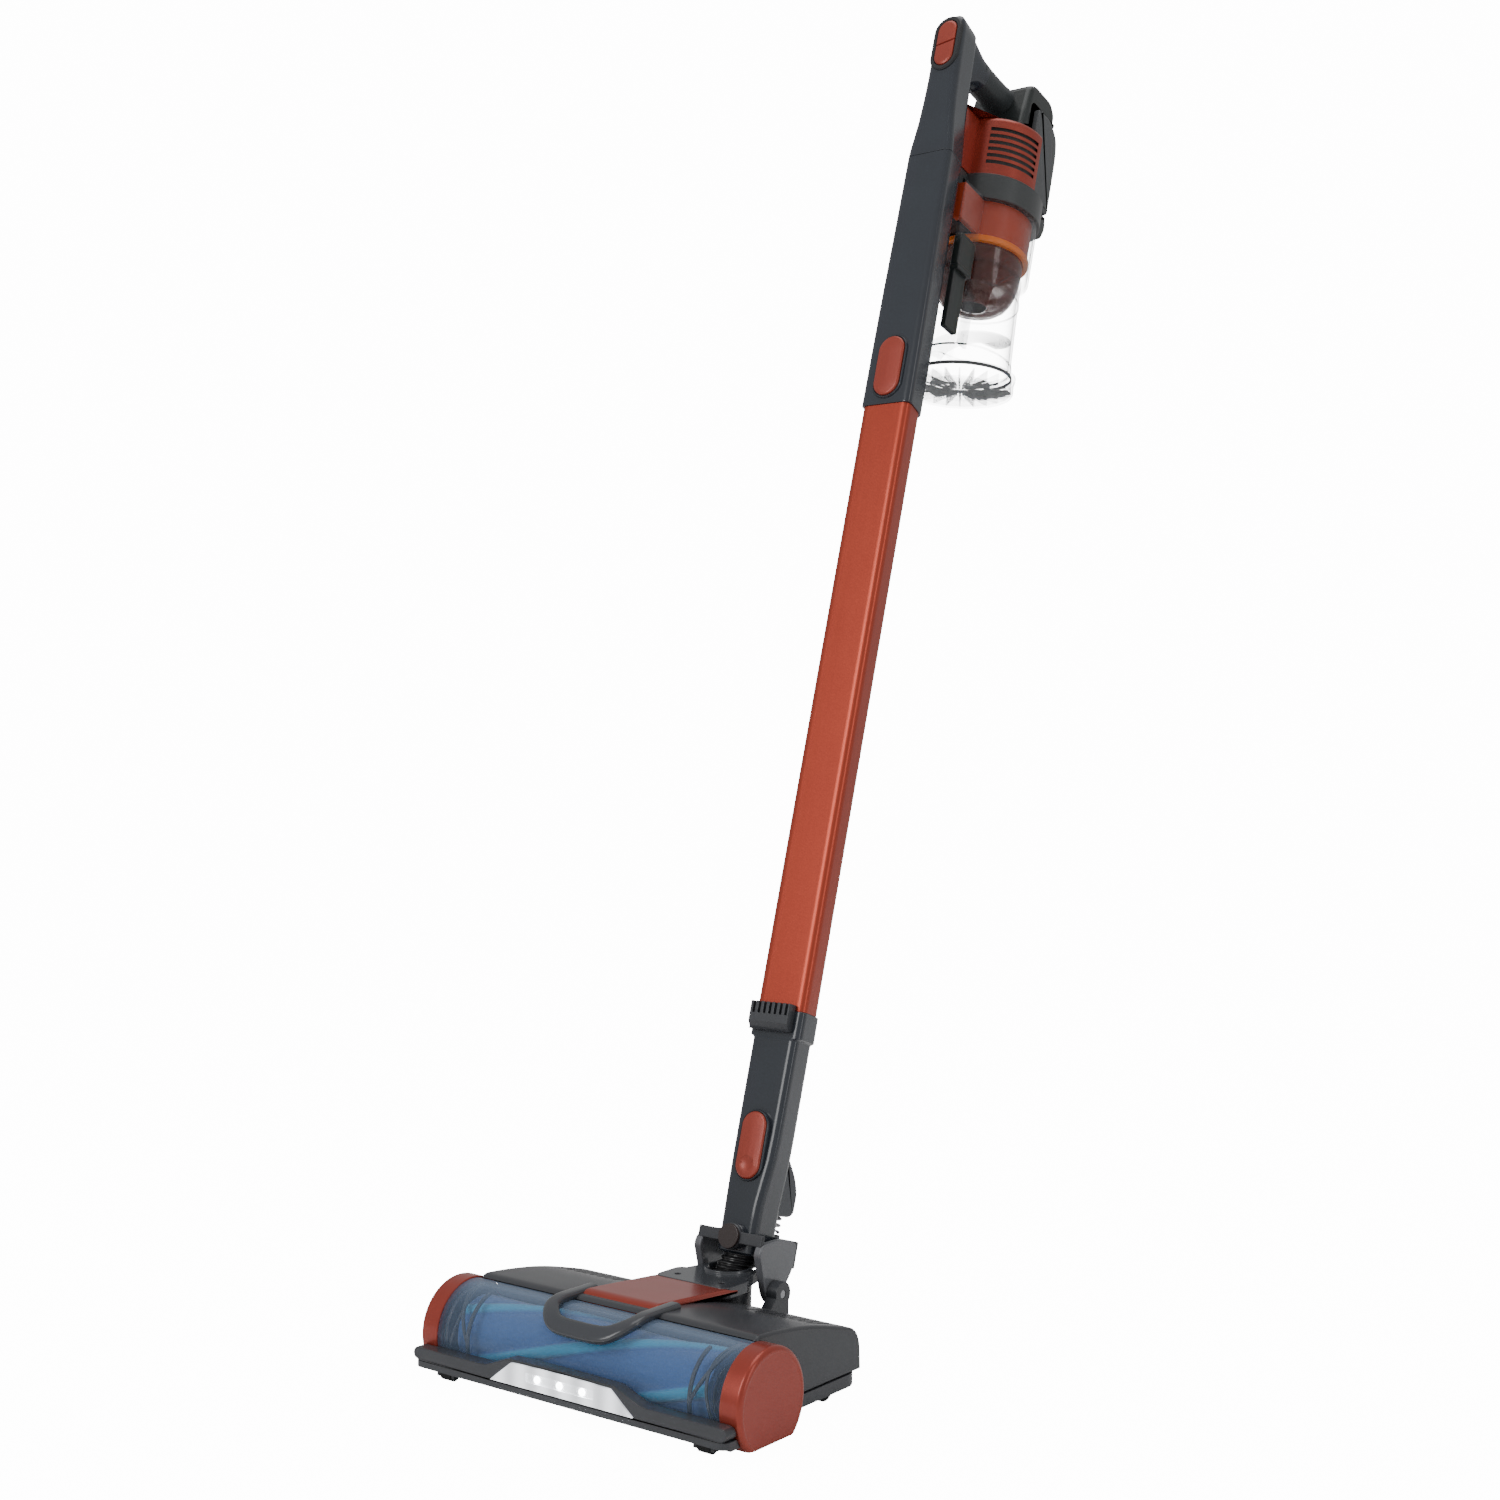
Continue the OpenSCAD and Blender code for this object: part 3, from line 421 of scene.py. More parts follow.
def rolled_edge(steps):
    """(depth, inset) along a quarter-round edge of radius 1."""
    return [(1 - math.cos(a), 1 - math.sin(a)) for a in [math.pi / 2 * k / steps for k in range(steps + 1)]]


cap_r = roll.y - cap_low.y
rim = 3.4
profile = [(0, cap_in + 10), (31.5, cap_in + 10), (31.5, cap_in), (cap_r - 0.5, cap_in), (cap_r, cap_in + 0.5)]
profile += [(cap_r - rim * depth, cap_high.x - rim * by) for depth, by in rolled_edge(8)]
profile += [(cap_r - rim - 0.8, cap_high.x), (cap_r - rim - 1.6, cap_high.x - 0.35), (0, cap_high.x - 0.35)]
shapes = []
for side in (-1, 1):
    points, faces = spun_x(profile)
    points = [Vector((side * p.x, p.y, max(p.z, cap_flat / 1000))) for p in points]
    shapes.append((points, faces))
made("cap_pair", together(*shapes), "head", "copper_plastic", copper_abs, "end_caps")

# ---- Bumper and lamp panel ----
# A dark grey strip along the front lip that rises in the middle to frame the lights. The panel is
# frosted acrylic over three white diodes, glued in from the front.
dress("bumper", dark_abs, 0.9)
frosted, tree, shader = new_finish("Lit frosted acrylic", Roughness=0.25, Emission_Strength=2.2)
dyed(tree, shader, (0.92, 0.93, 0.94), (0.84, 0.85, 0.87))
where = placed(tree, "ShaderNodeTexCoord")
glow = placed(tree, "ShaderNodeTexWave", Scale=15.7, Phase_Offset=math.pi / 2)
joining(tree, where, "Object", glow, "Vector")
warm = tree.nodes.new("ShaderNodeValToRGB")
warm.color_ramp.elements[0].color = (0.25, 0.26, 0.28, 1)
warm.color_ramp.elements[1].color = (0.6, 0.62, 0.66, 1)
joining(tree, glow, "Fac", warm, "Fac")
joining(tree, warm, "Color", shader, "Emission Color")
dress("lamp_panel", frosted, 0.25)
diode, tree, shader = new_finish("White diode", Emission_Strength=14)
dye = dyed(tree, shader, (1, 1, 1), (0.92, 0.96, 1))
joining(tree, dye, "Colour", shader, "Emission Color")
dress("lamp_leds", diode, 0.2)


# ---- Upper cover ----
# The dark grey shell over the motor and the air duct, 2.4 mm ABS with large soft edges. Its two
# pods are slotted for cooling air, and it is screwed up from the sole.
def rounded(corners, steps=5):
    """An outline through (y, z, radius) corners, each turned into a soft bend."""
    points = []
    for k, (y, z, r) in enumerate(corners):
        here = Vector((y, z))
        legs = [Vector(corners[(k + j) % len(corners)][:2]) - here for j in (-1, 1)]
        if r == 0:
            points.append(here)
            continue
        start, finish = [here + leg.normalized() * min(r, leg.length * 0.49) for leg in legs]
        for i in range(steps + 1):
            t = i / steps
            points.append(start * (1 - t) ** 2 + here * 2 * t * (1 - t) + finish * t ** 2)
    return points


def inset(outline, d):
    """Moves a closed outline inwards by d, whichever way round it runs."""
    n = len(outline)
    area = sum(outline[i].x * outline[(i + 1) % n].y - outline[(i + 1) % n].x * outline[i].y
               for i in range(n))
    turn = 1 if area > 0 else -1
    moved = []
    for i, p in enumerate(outline):
        a, b = (p - outline[i - 1]), (outline[(i + 1) % n] - p)
        a, b = (a if a.length > 1e-9 else b).normalized(), (b if b.length > 1e-9 else a).normalized()
        normal = Vector((-(a.y + b.y), a.x + b.x)) * turn
        moved.append(p + normal.normalized() * d / max(0.5, abs((a + b).length / 2)))
    return moved


def pillow(outline, x0, x1, soft, place, steps=5):
    """Draws a closed (y, z) outline along X, with softly rounded ends."""
    rings = [(x0 + soft * depth, soft * by) for depth, by in rolled_edge(steps)]
    rings += [(x1 + x0 - x, d) for x, d in reversed(rings)]
    return loft([[place(x, p.x, p.y) for p in inset(outline, d)] for x, d in rings])


def carve(piece, *cutters):
    """Cuts closed shapes out of a piece, and keeps the result as its mesh."""
    for shape in cutters:
        mesh = bpy.data.meshes.new("cutter")
        mesh.from_pydata(shape[0], [], shape[1])
        tool = bpy.data.objects.new("cutter", mesh)
        bpy.context.scene.collection.objects.link(tool)
        work = bmesh.new()
        work.from_mesh(mesh)
        bmesh.ops.recalc_face_normals(work, faces=work.faces)
        work.to_mesh(mesh)
        work.free()
        cut = piece.modifiers.new("Cut", "BOOLEAN")
        cut.operation, cut.object, cut.solver = "DIFFERENCE", tool, "EXACT"
        cut.use_self = True
        others = [m for m in piece.modifiers if m != cut]
        for m in others:
            m.show_viewport = False
        bpy.context.view_layer.update()
        done = piece.evaluated_get(bpy.context.evaluated_depsgraph_get())
        fresh = bpy.data.meshes.new_from_object(done)
        piece.modifiers.remove(cut)
        for m in others:
            m.show_viewport = True
        piece.data = fresh
        bpy.data.objects.remove(tool)


cover_low, cover_high = [corner * 1000 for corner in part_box("upper_cover")]
front_y, deck_z, cover_half, cover_wall = cover_low.y, cover_high.z, cover_high.x, 2.4
deck_line = [(front_y + 0.2, deck_z, 7), (front_y + 22, deck_z - 1.4, 12), (front_y + 60, 60, 20),
             (front_y + 98, 50.5, 20), (cover_high.y - 1.5, 44, 22)]
outside = rounded([(front_y, 16, 0)] + deck_line + [(cover_high.y, 16, 0)], 6)
inside = rounded([(front_y - 20, 0, 0), (front_y - 20, deck_z - cover_wall, 0)]
                 + [(y - cover_wall * (k == 4), z - cover_wall, s) for k, (y, z, s) in enumerate(deck_line)][1:]
                 + [(cover_high.y - cover_wall, 0, 0)], 6)
cover = made("top_cover", pillow(outside, -cover_half, cover_half, 2.6, in_row, 5), "head", "charcoal",
             dark_abs, "upper_cover")


def prism(plan, levels, place):
    """A straight block with an (x, y) plan, from its first level to its last."""
    return loft([[place(x, y, z) for x, y in plan] for z in levels])


def vent_slot(x, half, y0, y1):
    """An upright cutter whose plan has round ends along Y."""
    plan = [(x + half * math.cos(a), (y1 - half if a <= math.pi else y0 + half) + half * math.sin(a))
            for a in all_round(24)]
    return prism(plan, (30, 70), in_row)


vents = [vent_slot(side * (61 + 7.4 * k), 1.9, 122, 149) for side in (-1, 1) for k in range(8)]
rear_bay = prism([(-43, 157), (-43, 190), (43, 190), (43, 157)], (10, 90), in_row)
plate_bay = prism([(-34.3, 57.5), (-34.3, 175), (34.3, 175), (34.3, 57.5)], (56, 90), in_row)
bay_r = visor_r + 0.2
drum_bay = loft([[in_row(x, roll.y + bay_r * math.cos(a), roll.z + bay_r * math.sin(a)) for a in all_round(96)]
                 for x in (-130, 130)])
hollow = pillow(inside, cover_wall - cover_half, cover_half - cover_wall, 0.6, in_row, 2)
carve(cover, hollow, drum_bay, rear_bay, plate_bay, together(*vents))
# A fine black mesh sits under the slots.
mesh_line = rounded([(118, 45, 1), (118, 47, 1), (153, 41, 1), (153, 39, 1)], 2)
vent_floor = [pillow(mesh_line, side * 88 - 32, side * 88 + 32, 0.5, in_row) for side in (-1, 1)]
made("vent_screens", together(*vent_floor), "head", "black", black_nylon)

# ---- Top plate ----
# An orange metallic panel over the air duct, with a rolled front lip that hooks over the visor.
# It is held by two screws under the hose collar.
plate_top = rounded([(56.6, 59.5, 1), (57.6, 65.4, 2.6), (62, 68.2, 4), (136, 62.6, 6), (150, 60.2, 1),
                     (150, 56.5, 1), (62, 61.4, 2)], 5)
made("lid_plate", pillow(plate_top, -33.6, 33.6, 2.4, in_row), "head", "copper_plastic", copper_abs, "top_plate")

# ---- Carry loop ----
# A thick rounded rim of dark grey ABS, part of the cover's front edge. It loops forward over the
# window, and gives a finger something to lift by.
loop_r = visor_r + 2.6


def on_drum(x, y, lift):
    """A point over the visor, or over the deck behind it, raised by lift."""
    y = min(y, front_y + 30)
    a = math.asin(max(-1, min(1, (roll.y - y) / loop_r)))
    drum_z = roll.z + (loop_r + lift) * math.cos(a)
    if y < roll.y:
        return (Vector((x, roll.y - (loop_r + lift) * math.sin(a), drum_z)),
                Vector((0, -math.sin(a), math.cos(a))))
    return Vector((x, y, roll.z + loop_r + lift)), Vector((0, 0, 1))


def squared(share, power, size):
    """Pushes a circle's sine or cosine out towards a square of a given half size."""
    return abs(share) ** power * math.copysign(size, share)


loop_plan = [(-37.2, 74), (-37.2, 52), (-37.2, 40), (-36.4, 33), (-33.5, 27.4), (-28, 22.3), (-22, 19.6),
             (-14, 18.6), (0, 18.4)]
loop_plan = loop_plan + [(-x, y) for x, y in reversed(loop_plan[:-1])]
curve_plan = []
for k in range(len(loop_plan) - 1):
    p0, p1, p2, p3 = [Vector(loop_plan[max(0, min(len(loop_plan) - 1, k + j))]) for j in (-1, 0, 1, 2)]
    for i in range(6):
        t = i / 6
        curve_plan.append(0.5 * ((2 * p1) + (p2 - p0) * t + (2 * p0 - 5 * p1 + 4 * p2 - p3) * t * t
                                 + (3 * p1 - p0 - 3 * p2 + p3) * t ** 3))
curve_plan.append(Vector(loop_plan[-1]))
rings = []
for k, p in enumerate(curve_plan):
    here, normal = on_drum(p.x, p.y, 0)
    before, after = curve_plan[max(k - 1, 0)], curve_plan[min(k + 1, len(curve_plan) - 1)]
    ahead = on_drum(*after, 0)[0] - on_drum(*before, 0)[0]
    across_path = ahead.cross(normal).normalized()
    front_share = max(0.0, (34 - p.y) / 16)
    half_wide, half_high = 5.2 + 1.3 * front_share, 3.1 + 0.3 * front_share
    rings.append([in_row(*(here + across_path * squared(math.cos(a), 0.62, half_wide)
                           + normal * (squared(math.sin(a), 0.7, half_high) - 0.6))) for a in all_round(28)])
gloss_abs = moulded("Polished grey ABS", (0.06, 0.064, 0.074), (0.05, 0.054, 0.062), 0.22, coat=0.5,
                    relief=0.02)
made("front_loop", loft(rings), "head", "charcoal", gloss_abs, "carry_loop")

# ---- Hose collar ----
# A polished dark grey clamp plate round the foot of the hose, with a screw boss at each front
# corner.
dress("hose_collar", gloss_abs, 0.7)

# ---- Flexible hose ----
# Black corrugated TPE, with a wire wound into it. It joins the head's air duct to the neck and
# stretches as the neck tilts and steers.
hinge = Vector(joint("tilt")["pos_m"])
up = -Vector(joint("wand_slide")["axis"])
back = Vector(joint("power_press")["axis"])
stick_lean = math.degrees(math.asin(up.y))


def on_stick(x, y, s):
    """A point x to the right, y behind the stick's middle line and s up it from the tilt pins, in mm."""
    return hinge + (Vector((x, 0, 0)) + back * y + up * s) / 1000


def hose_line(t):
    """Middle of the hose and lean of its rings, from its foot at 0 to its top at 1."""
    centre = Vector((0, 181 + 22 * t * t - 3.6 * t ** 3, 49 + 20.4 * t))
    return centre, math.radians(stick_lean * (2.2 * t - 1.2 * t * t))


rings = []
turns, per_turn = 8, 8
for k in range(turns * per_turn + 1):
    t = k / (turns * per_turn)
    centre, tilted = hose_line(t)
    r = 13.55 + 0.95 * math.cos(2 * math.pi * t * turns)
    rings.append([in_row(centre.x + r * math.cos(a), centre.y + r * math.sin(a) * math.cos(tilted),
                         centre.z - r * math.sin(a) * math.sin(tilted))
                  for a in all_round(48)])
shiny_tpe = moulded("Black hose", (0.02, 0.02, 0.022), (0.012, 0.012, 0.013), 0.3, coat=0.4, relief=0.05)
# The lower half of the hose bends with the tilt and the upper half with the steering. Here each half is a piece of
# its own, left free of the bodies.
seam = len(rings) // 2
halves = []
for name, part in (("hose_lower", rings[:seam + 1]), ("hose_upper", rings[seam:])):
    middles = [sum(ring, Vector()) / len(ring) for ring in part]
    bore = [[c + (p - c) * 0.8 for p in ring] for ring, c in zip(part, middles)]
    stands_for = ("flex_hose",) if name == "hose_lower" else ()
    half = made(name, loft(part + bore[::-1], loop=True), None, "rubber", shiny_tpe, *stands_for)
    halves.append((half, middles[0], middles[-1]))
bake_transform(halves[0][0])
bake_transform(halves[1][0])

# ---- Tilt pins, steer pins and yoke ----
# The yoke is a glass-filled nylon fork, a dark frame between two grey cheeks. Steel pins hold the
# cheeks in the head's ears, and two brown pins let the neck swing in it from side to side.
dress("tilt_pins", zinc, 0.2)
yoke_grey = moulded("Yoke grey", (0.19, 0.195, 0.21), (0.15, 0.155, 0.17), 0.24, coat=0.45, relief=0.04)
steer_s, spring_y = 33.6, 28


def turned(profile, s, steps=48, loop=True):
    """Revolves an (r, y) profile round a line that runs straight back through the stick at s."""
    return loft([[on_stick(r * math.cos(a), y, s + r * math.sin(a)) for a in all_round(steps)]
                 for r, y in profile], loop=loop)


bars = [pillow(rounded([(y0, s0, r), (y0, s1, r), (y1, s1, r), (y1, s0, r)], 3), -half, half, soft, on_stick)
        for y0, y1, s0, s1, r, half, soft in ((-22.8, -19.4, 29.4, 38, 1, 29.6, 1.2),
                                              (17.4, 24, 18.2, 38, 1.2, 29.6, 1.2), (20, 30, 20, 30, 1, 7, 0.8))]
ring_boss = turned([(4, -22.8), (8.8, -22.8), (9.6, -22), (9.6, -19.4), (4, -19.4)], steer_s)
spring_seat = loft([[on_stick(r * math.cos(a), spring_y + r * math.sin(a), s) for a in all_round(40)]
                    for r, s in ((6.4, 29), (7, 29.6), (7, 39.6), (6.4, 40.2))])
made("yoke_frame", together(*bars, ring_boss, spring_seat), "yoke", "grey", dark_abs, "yoke")
cheek = rounded([(-8, -4, 5), (0, -9.4, 7), (9, -5, 5), (20.4, 18, 5), (20.4, 36.6, 4), (4, 38.6, 6),
                 (-22.4, 31.4, 4), (-24.4, 23.6, 3)], 5)
cheeks = [pillow(cheek, side * 27.6 - 3.2, side * 27.6 + 3.2, 1.2, on_stick, 4) for side in (-1, 1)]
made("yoke_cheeks", together(*cheeks), "yoke", "grey", yoke_grey)
pin_brown = moulded("Pin cap", (0.045, 0.028, 0.026), (0.03, 0.02, 0.02), 0.35, coat=0.3)
dress("steer_pins", pin_brown, 0.5)

# ---- Neck spring ----
# A coil of spring steel behind the neck. It brings the neck back to straight after a turn.
spring_foot, spring_top = 41.6, 71.4
wire_r, coil_r, coils = 0.95, 5.6, 6
rings = []
for k in range(coils * 20 + 1):
    t = k / (coils * 20)
    a = 2 * math.pi * coils * t
    wide = [(coil_r + wire_r * math.cos(b), wire_r * math.sin(b)) for b in all_round(10)]
    rings.append([on_stick(r * math.cos(a), spring_y + r * math.sin(a),
                           spring_foot + (spring_top - spring_foot) * t + lift) for r, lift in wide])
spring = made("return_spring", loft(rings), None, "steel", drawn_steel, "neck_spring")
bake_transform(spring)


# ---- Neck ----
# The blue-grey moulding between the head and the wand: a flat-fronted tube with a hump over the
# spring, a sunk seat for the release button, and a thicker collar that takes the wand's end.
def outline_at(wide, front, narrow, rear, soft_front=7, soft_back=9):
    """A flat-fronted outline whose sides close in to a narrow round back."""
    half, half_back = wide / 2, narrow / 2
    return rounded([(-half, front, soft_front), (half, front, soft_front), (half_back, rear, soft_back),
                    (-half_back, rear, soft_back)], 9)


def tube_along(stations, wall, soft_front=7, soft_back=9):
    """Skins outlines (s, front width, front y, back width, back y) up the stick, with a wall."""
    outer, inner = [], []
    for s, wide, front, narrow, rear in stations:
        shape = outline_at(wide, front, narrow, rear, soft_front, soft_back)
        outer.append([on_stick(p.x, p.y, s) for p in shape])
        inner.append([on_stick(p.x, p.y, s) for p in inset(shape, wall)])
    return loft(outer + inner[::-1], loop=True)


slate_abs = moulded("Slate blue ABS", (0.032, 0.038, 0.050), (0.025, 0.030, 0.040), 0.2, drift=0.06, coat=0.6,
                    relief=0.015)
neck_stations = [(22, 32, -14, 24, 17), (23.5, 34, -15.6, 26, 19), (48, 34.6, -16, 27, 19),
                 (60, 35.5, -15.8, 27, 19.3), (76, 38, -14.6, 29, 19.6), (92, 40.6, -13.2, 30, 19.8),
                 (110, 41.6, -12.6, 30.5, 20), (181, 42.6, -12, 31, 20.2), (182, 43.4, -12.2, 31.5, 20.4),
                 (183.5, 48.6, -12.4, 36, 20.8), (203.2, 48.8, -12.2, 36, 20.8), (203.6, 48.2, -11.9, 35.6, 20.5)]
made("neck_body", tube_along(neck_stations, 2.6), "neck", "slate", slate_abs, "neck_tube")

def pill_rings(wide, tall, s, levels, n=40):
    """Pill outlines standing on the stick's front, one for each (inset, y) level."""
    rings = []
    for d, y in levels:
        r, straight = wide / 2 - d, (tall - wide) / 2
        ring = []
        for k in range(n):
            a = 2 * math.pi * (k + 0.5) / n
            end = straight if math.sin(a) > 0 else -straight
            ring.append(on_stick(r * math.cos(a), y, s + end + r * math.sin(a)))
        rings.append(ring)
    return rings


def key(wide, tall, s, front, rear):
    """A pill-shaped key cap with a rolled edge and a barely crowned face."""
    rim = 1.8
    levels = [(0.4, rear), (0, rear - 0.4)]
    levels += [(rim * depth, front + rim * 0.8 * by) for depth, by in rolled_edge(5)]
    levels += [(wide / 4, front - 0.35), (wide / 2 - 0.6, front - 0.5)]
    return loft(pill_rings(wide, tall, s, levels))


neck_key_s = 101
hump = rounded([(12, 104, 4), (20, 97, 10), (32, 84, 8), (37.5, 72, 4), (37, 57, 3), (33, 54, 3), (12, 53, 1)], 5)
boss = turned([(9.6, -10), (9.6, -18), (8.8, -18.9), (5.6, -18.9), (5.2, -17.6), (4.2, -17.6), (4.2, -10)], steer_s)
seat_levels = [(0, -8), (0, -15.2), (0.7, -16.4), (1.3, -16.4), (1.5, -15), (1.5, -8)]
seat = loft(pill_rings(25.6, 53.6, neck_key_s, seat_levels), loop=True)
made("neck_mouldings", together(pillow(hump, -12.5, 12.5, 3, on_stick), boss, seat), "neck", "slate", slate_abs)
dress("neck_plug", black_nylon, 0.3)
dress("comb_grille", dark_abs, 0.35)
copper_key = moulded("Copper key caps", (0.42, 0.06, 0.035), (0.36, 0.05, 0.03), 0.35, size=2500, relief=0.04,
                     coat=0.2, metallic=0.25)
neck_key = made("neck_key", key(22, 50, neck_key_s, -17.6, -9), "neck_release", "copper_plastic", copper_key,
                "neck_release")
dimple = [(0.5, -17.1), (4, -17.25), (6.2, -17.9), (6.6, -20), (0.5, -20)]
carve(neck_key, turned(dimple, neck_key_s - 14, 40, loop=False))

# ---- Wand ----
# A drawn aluminium tube, brushed along its length and anodised copper. It plugs into the neck
# below and into the handheld unit above.
streak, ends, out = shader_group("Brushed streaks",
    [("Roughness", "NodeSocketFloat", 0.3), ("Depth", "NodeSocketFloat", 0.12)],
    [("Roughness", "NodeSocketFloat"), ("Height", "NodeSocketFloat")])
where = placed(streak, "ShaderNodeTexCoord")
along = placed(streak, "ShaderNodeMapping", Rotation=(math.radians(-stick_lean), 0, 0))
along.vector_type = "TEXTURE"
fibre = placed(streak, "ShaderNodeMapping", Scale=(2600, 2600, 14))
lines = placed(streak, "ShaderNodeTexNoise", Scale=1, Detail=4)
joining(streak, where, "Object", along, "Vector")
joining(streak, along, "Vector", fibre, "Vector")
joining(streak, fibre, "Vector", lines, "Vector")
centred = math_node(streak, "SUBTRACT", (lines, "Fac"), 0.5)
scaled = math_node(streak, "MULTIPLY", (centred, "Value"), (ends, "Depth"))
rough = math_node(streak, "ADD", (scaled, "Value"), (ends, "Roughness"))
joining(streak, rough, "Value", out, "Roughness")
joining(streak, lines, "Fac", out, "Height")
anodised = moulded("Copper anodised aluminium", (0.56, 0.082, 0.045), (0.50, 0.07, 0.04), 0.32, metallic=0.75,
                   coat=0.15)
tree = anodised.node_tree
shader = tree.nodes["Principled BSDF"]
brushed = placed(tree, "ShaderNodeGroup", streak, Roughness=0.34, Depth=0.16)
bump = next(n for n in tree.nodes if n.type == "BUMP")
joining(tree, brushed, "Roughness", shader, "Roughness")
joining(tree, brushed, "Height", bump, "Height")
wand_w, wand_wall = 47, 1.8
tube_low, tube_high = 204.0, 703.0
stations = [(s, wand_w, -11, wand_w - 13, 20) for s in (tube_low, tube_low + 1, 330, 455, 580, tube_high - 1, tube_high)]
made("wand_profile", tube_along(stations, wand_wall, 8, 11), "wand", "copper", anodised, "wand_tube")
dress("wand_plug", black_nylon, 0.3)

# ---- Handheld duct ----
# Two blue-grey mouldings that meet at a fine line. The lower one takes the wand, and the upper
# one narrows into the handle and flares back to hold the grip bar.
duct_lower = [(703.3, 48.8, -11.9, 35.8, 20.9), (704, 49.4, -12.1, 36, 21), (748, 49, -12, 36, 21),
              (800, 48, -12, 35, 21), (870, 45.8, -12, 33.5, 21), (932.4, 44.2, -12, 32.5, 21),
              (932.8, 43.6, -11.7, 32, 20.7)]
made("duct_lower", tube_along(duct_lower, 2.4), "handheld", "slate", slate_abs, "lower_duct")
button_s, grip_s, dome_s, top_s = 1037, 1037, 1048, 1064
duct_upper = [(933.1, 43.6, -11.7, 32, 20.7), (933.6, 44.2, -12, 32.5, 21), (942, 42.6, -12, 31.5, 21),
              (952, 39.6, -12, 30, 21), (966, 36, -12, 27.5, 21), (985, 33, -12.2, 25, 21),
              (1005, 31, -12.4, 23.6, 21), (1030, 30, -12.8, 23, 20.5), (dome_s, 29.4, -13, 22.5, 20)]
for k in range(1, 8):
    a = math.pi / 2 * k / 7
    drop = 1 - math.cos(a)
    duct_upper.append((dome_s + (top_s - dome_s) * math.sin(a), 29.4 - 13 * drop, -13 + 3 * drop,
                       22.5 - 13 * drop, 20 - 9 * drop))
outer = [[on_stick(p.x, p.y, s) for p in outline_at(w, f, n, r, 7 if s < 1056 else 4, 8 if s < 1056 else 4)]
         for s, w, f, n, r in duct_upper]
made("duct_upper", loft(outer), "handheld", "slate", slate_abs, "upper_duct")
flare = []
for k in range(13):
    t = k / 12
    ease = t * t * (3 - 2 * t)
    ring = []
    for a in all_round(48):
        square = Vector((squared(math.cos(a), 0.6, 11.4), squared(math.sin(a), 0.6, 24)))
        p = square.lerp(Vector((14.2 * math.cos(a), 14.2 * math.sin(a))), ease ** 0.7)
        ring.append(on_stick(p.x, 15 + 24 * t, grip_s - 1 + p.y))
    flare.append(ring)
made("grip_flare", loft(flare), "handheld", "slate", slate_abs)

# ---- Buttons ----
# A black bezel in the top of the handle with two orange keys, power above and mode below. They
# share one pill shape, split by a slanting line, and press straight in.
bezel_levels = [(0, -9), (0, -13.2), (1, -14.2), (3.4, -14.2), (4, -13.4), (4, -9)]
made("key_bezel", loft(pill_rings(27, 51, button_s, bezel_levels), loop=True), "handheld", "black",
     black_nylon, "button_bezel")
well = loft(pill_rings(19.6, 43.6, button_s, [(0, -8), (0, -12.2)]))
made("key_well", well, "handheld", "black", black_nylon)


def half_key(sign):
    """One half of the split pill, cut along a slanting line."""
    levels = [(0.2, -11), (0, -13.4), (0.5, -14.4), (1.5, -15.0), (3.5, -15.2)]
    wide, tall, n = 18.4, 42.4, 48
    rings = []
    for d, y in levels:
        r, straight = wide / 2 - d, (tall - wide) / 2
        ring = [(r * math.cos(a), sign * (straight + r * math.sin(a)))
                for a in [math.pi * k / n for k in range(n + 1)]]
        gap = (0.35 + d * 0.6) * sign
        ring += [(-r, gap - 0.16 * r), (r, gap + 0.16 * r)]
        rings.append([on_stick(x, y, button_s + s) for x, s in ring])
    return loft(rings)


made("power_key", half_key(1), "power_button", "copper_plastic", copper_key, "power_button")
made("mode_key", half_key(-1), "mode_button", "copper_plastic", copper_key, "mode_button")

# ---- Grip and battery seat ----
# The round bar that the hand holds, in charcoal ABS with a soft satin face. It runs back to the
# black block on top of the battery. The block is black moulding. Its front, brought down and
# widened over the battery's top, is painted shade as well.
satin = moulded("Satin charcoal grip", (0.045, 0.052, 0.056), (0.032, 0.038, 0.041), 0.42, coat=0.15, relief=0.06)
grip_line = [(14.1, 33), (13.9, 38), (13.5, 46), (13.4, 60), (13.6, 74), (14.4, 82), (15.6, 88)]
made("grip_bar", turned(grip_line, grip_s, 64, loop=False), "handheld", "charcoal", satin, "handle_grip")
# Black moulding for the seat and the slider. On the seat's front it is also painted shade.
black_green_and_shade = moulded("Black green ABS and painted shade", (0.022, 0.028, 0.027), (0.015, 0.019, 0.019), 0.34, coat=0.3, relief=0.04)
# The outline's low front, down in front of the battery's top, and the seat's width of 30 mm each side fill the
# shadowed gap there with black, as painted shade.
seat_line = rounded([(78, 1003.4, 2), (80, 1024, 3), (84, 1050, 4), (93, 1055.6, 4), (122, 1055.6, 6),
                     (131, 1046, 4), (131, 1030.8, 0.5), (93.8, 1030.8, 0.5), (93.8, 1003.4, 0.5)], 5)
made("grip_seat", pillow(seat_line, -30, 30, 6, on_stick), "handheld", "black", black_green_and_shade, "handle_root")

# ---- Motor housing ----
# An orange drum round the suction motor, with six cooling slots on each side and a flat back for
# the battery. It is one moulding with the bridge that joins it to the duct.
drum_y, drum_r = 92, 43


def spun(profile, start=0.0, finish=360.0, steps=144, centre=drum_y):
    """Revolves a closed (radius, s) profile round the cup's axis. The front is at 0 degrees."""
    turns = steps if finish - start >= 360 else steps + 1
    rings = []
    for k in range(turns):
        a = math.radians(start + (finish - start) * k / steps)
        rings.append([on_stick(r * math.sin(a), centre - r * math.cos(a), s) for r, s in profile])
    return loft(rings, loop=finish - start >= 360)


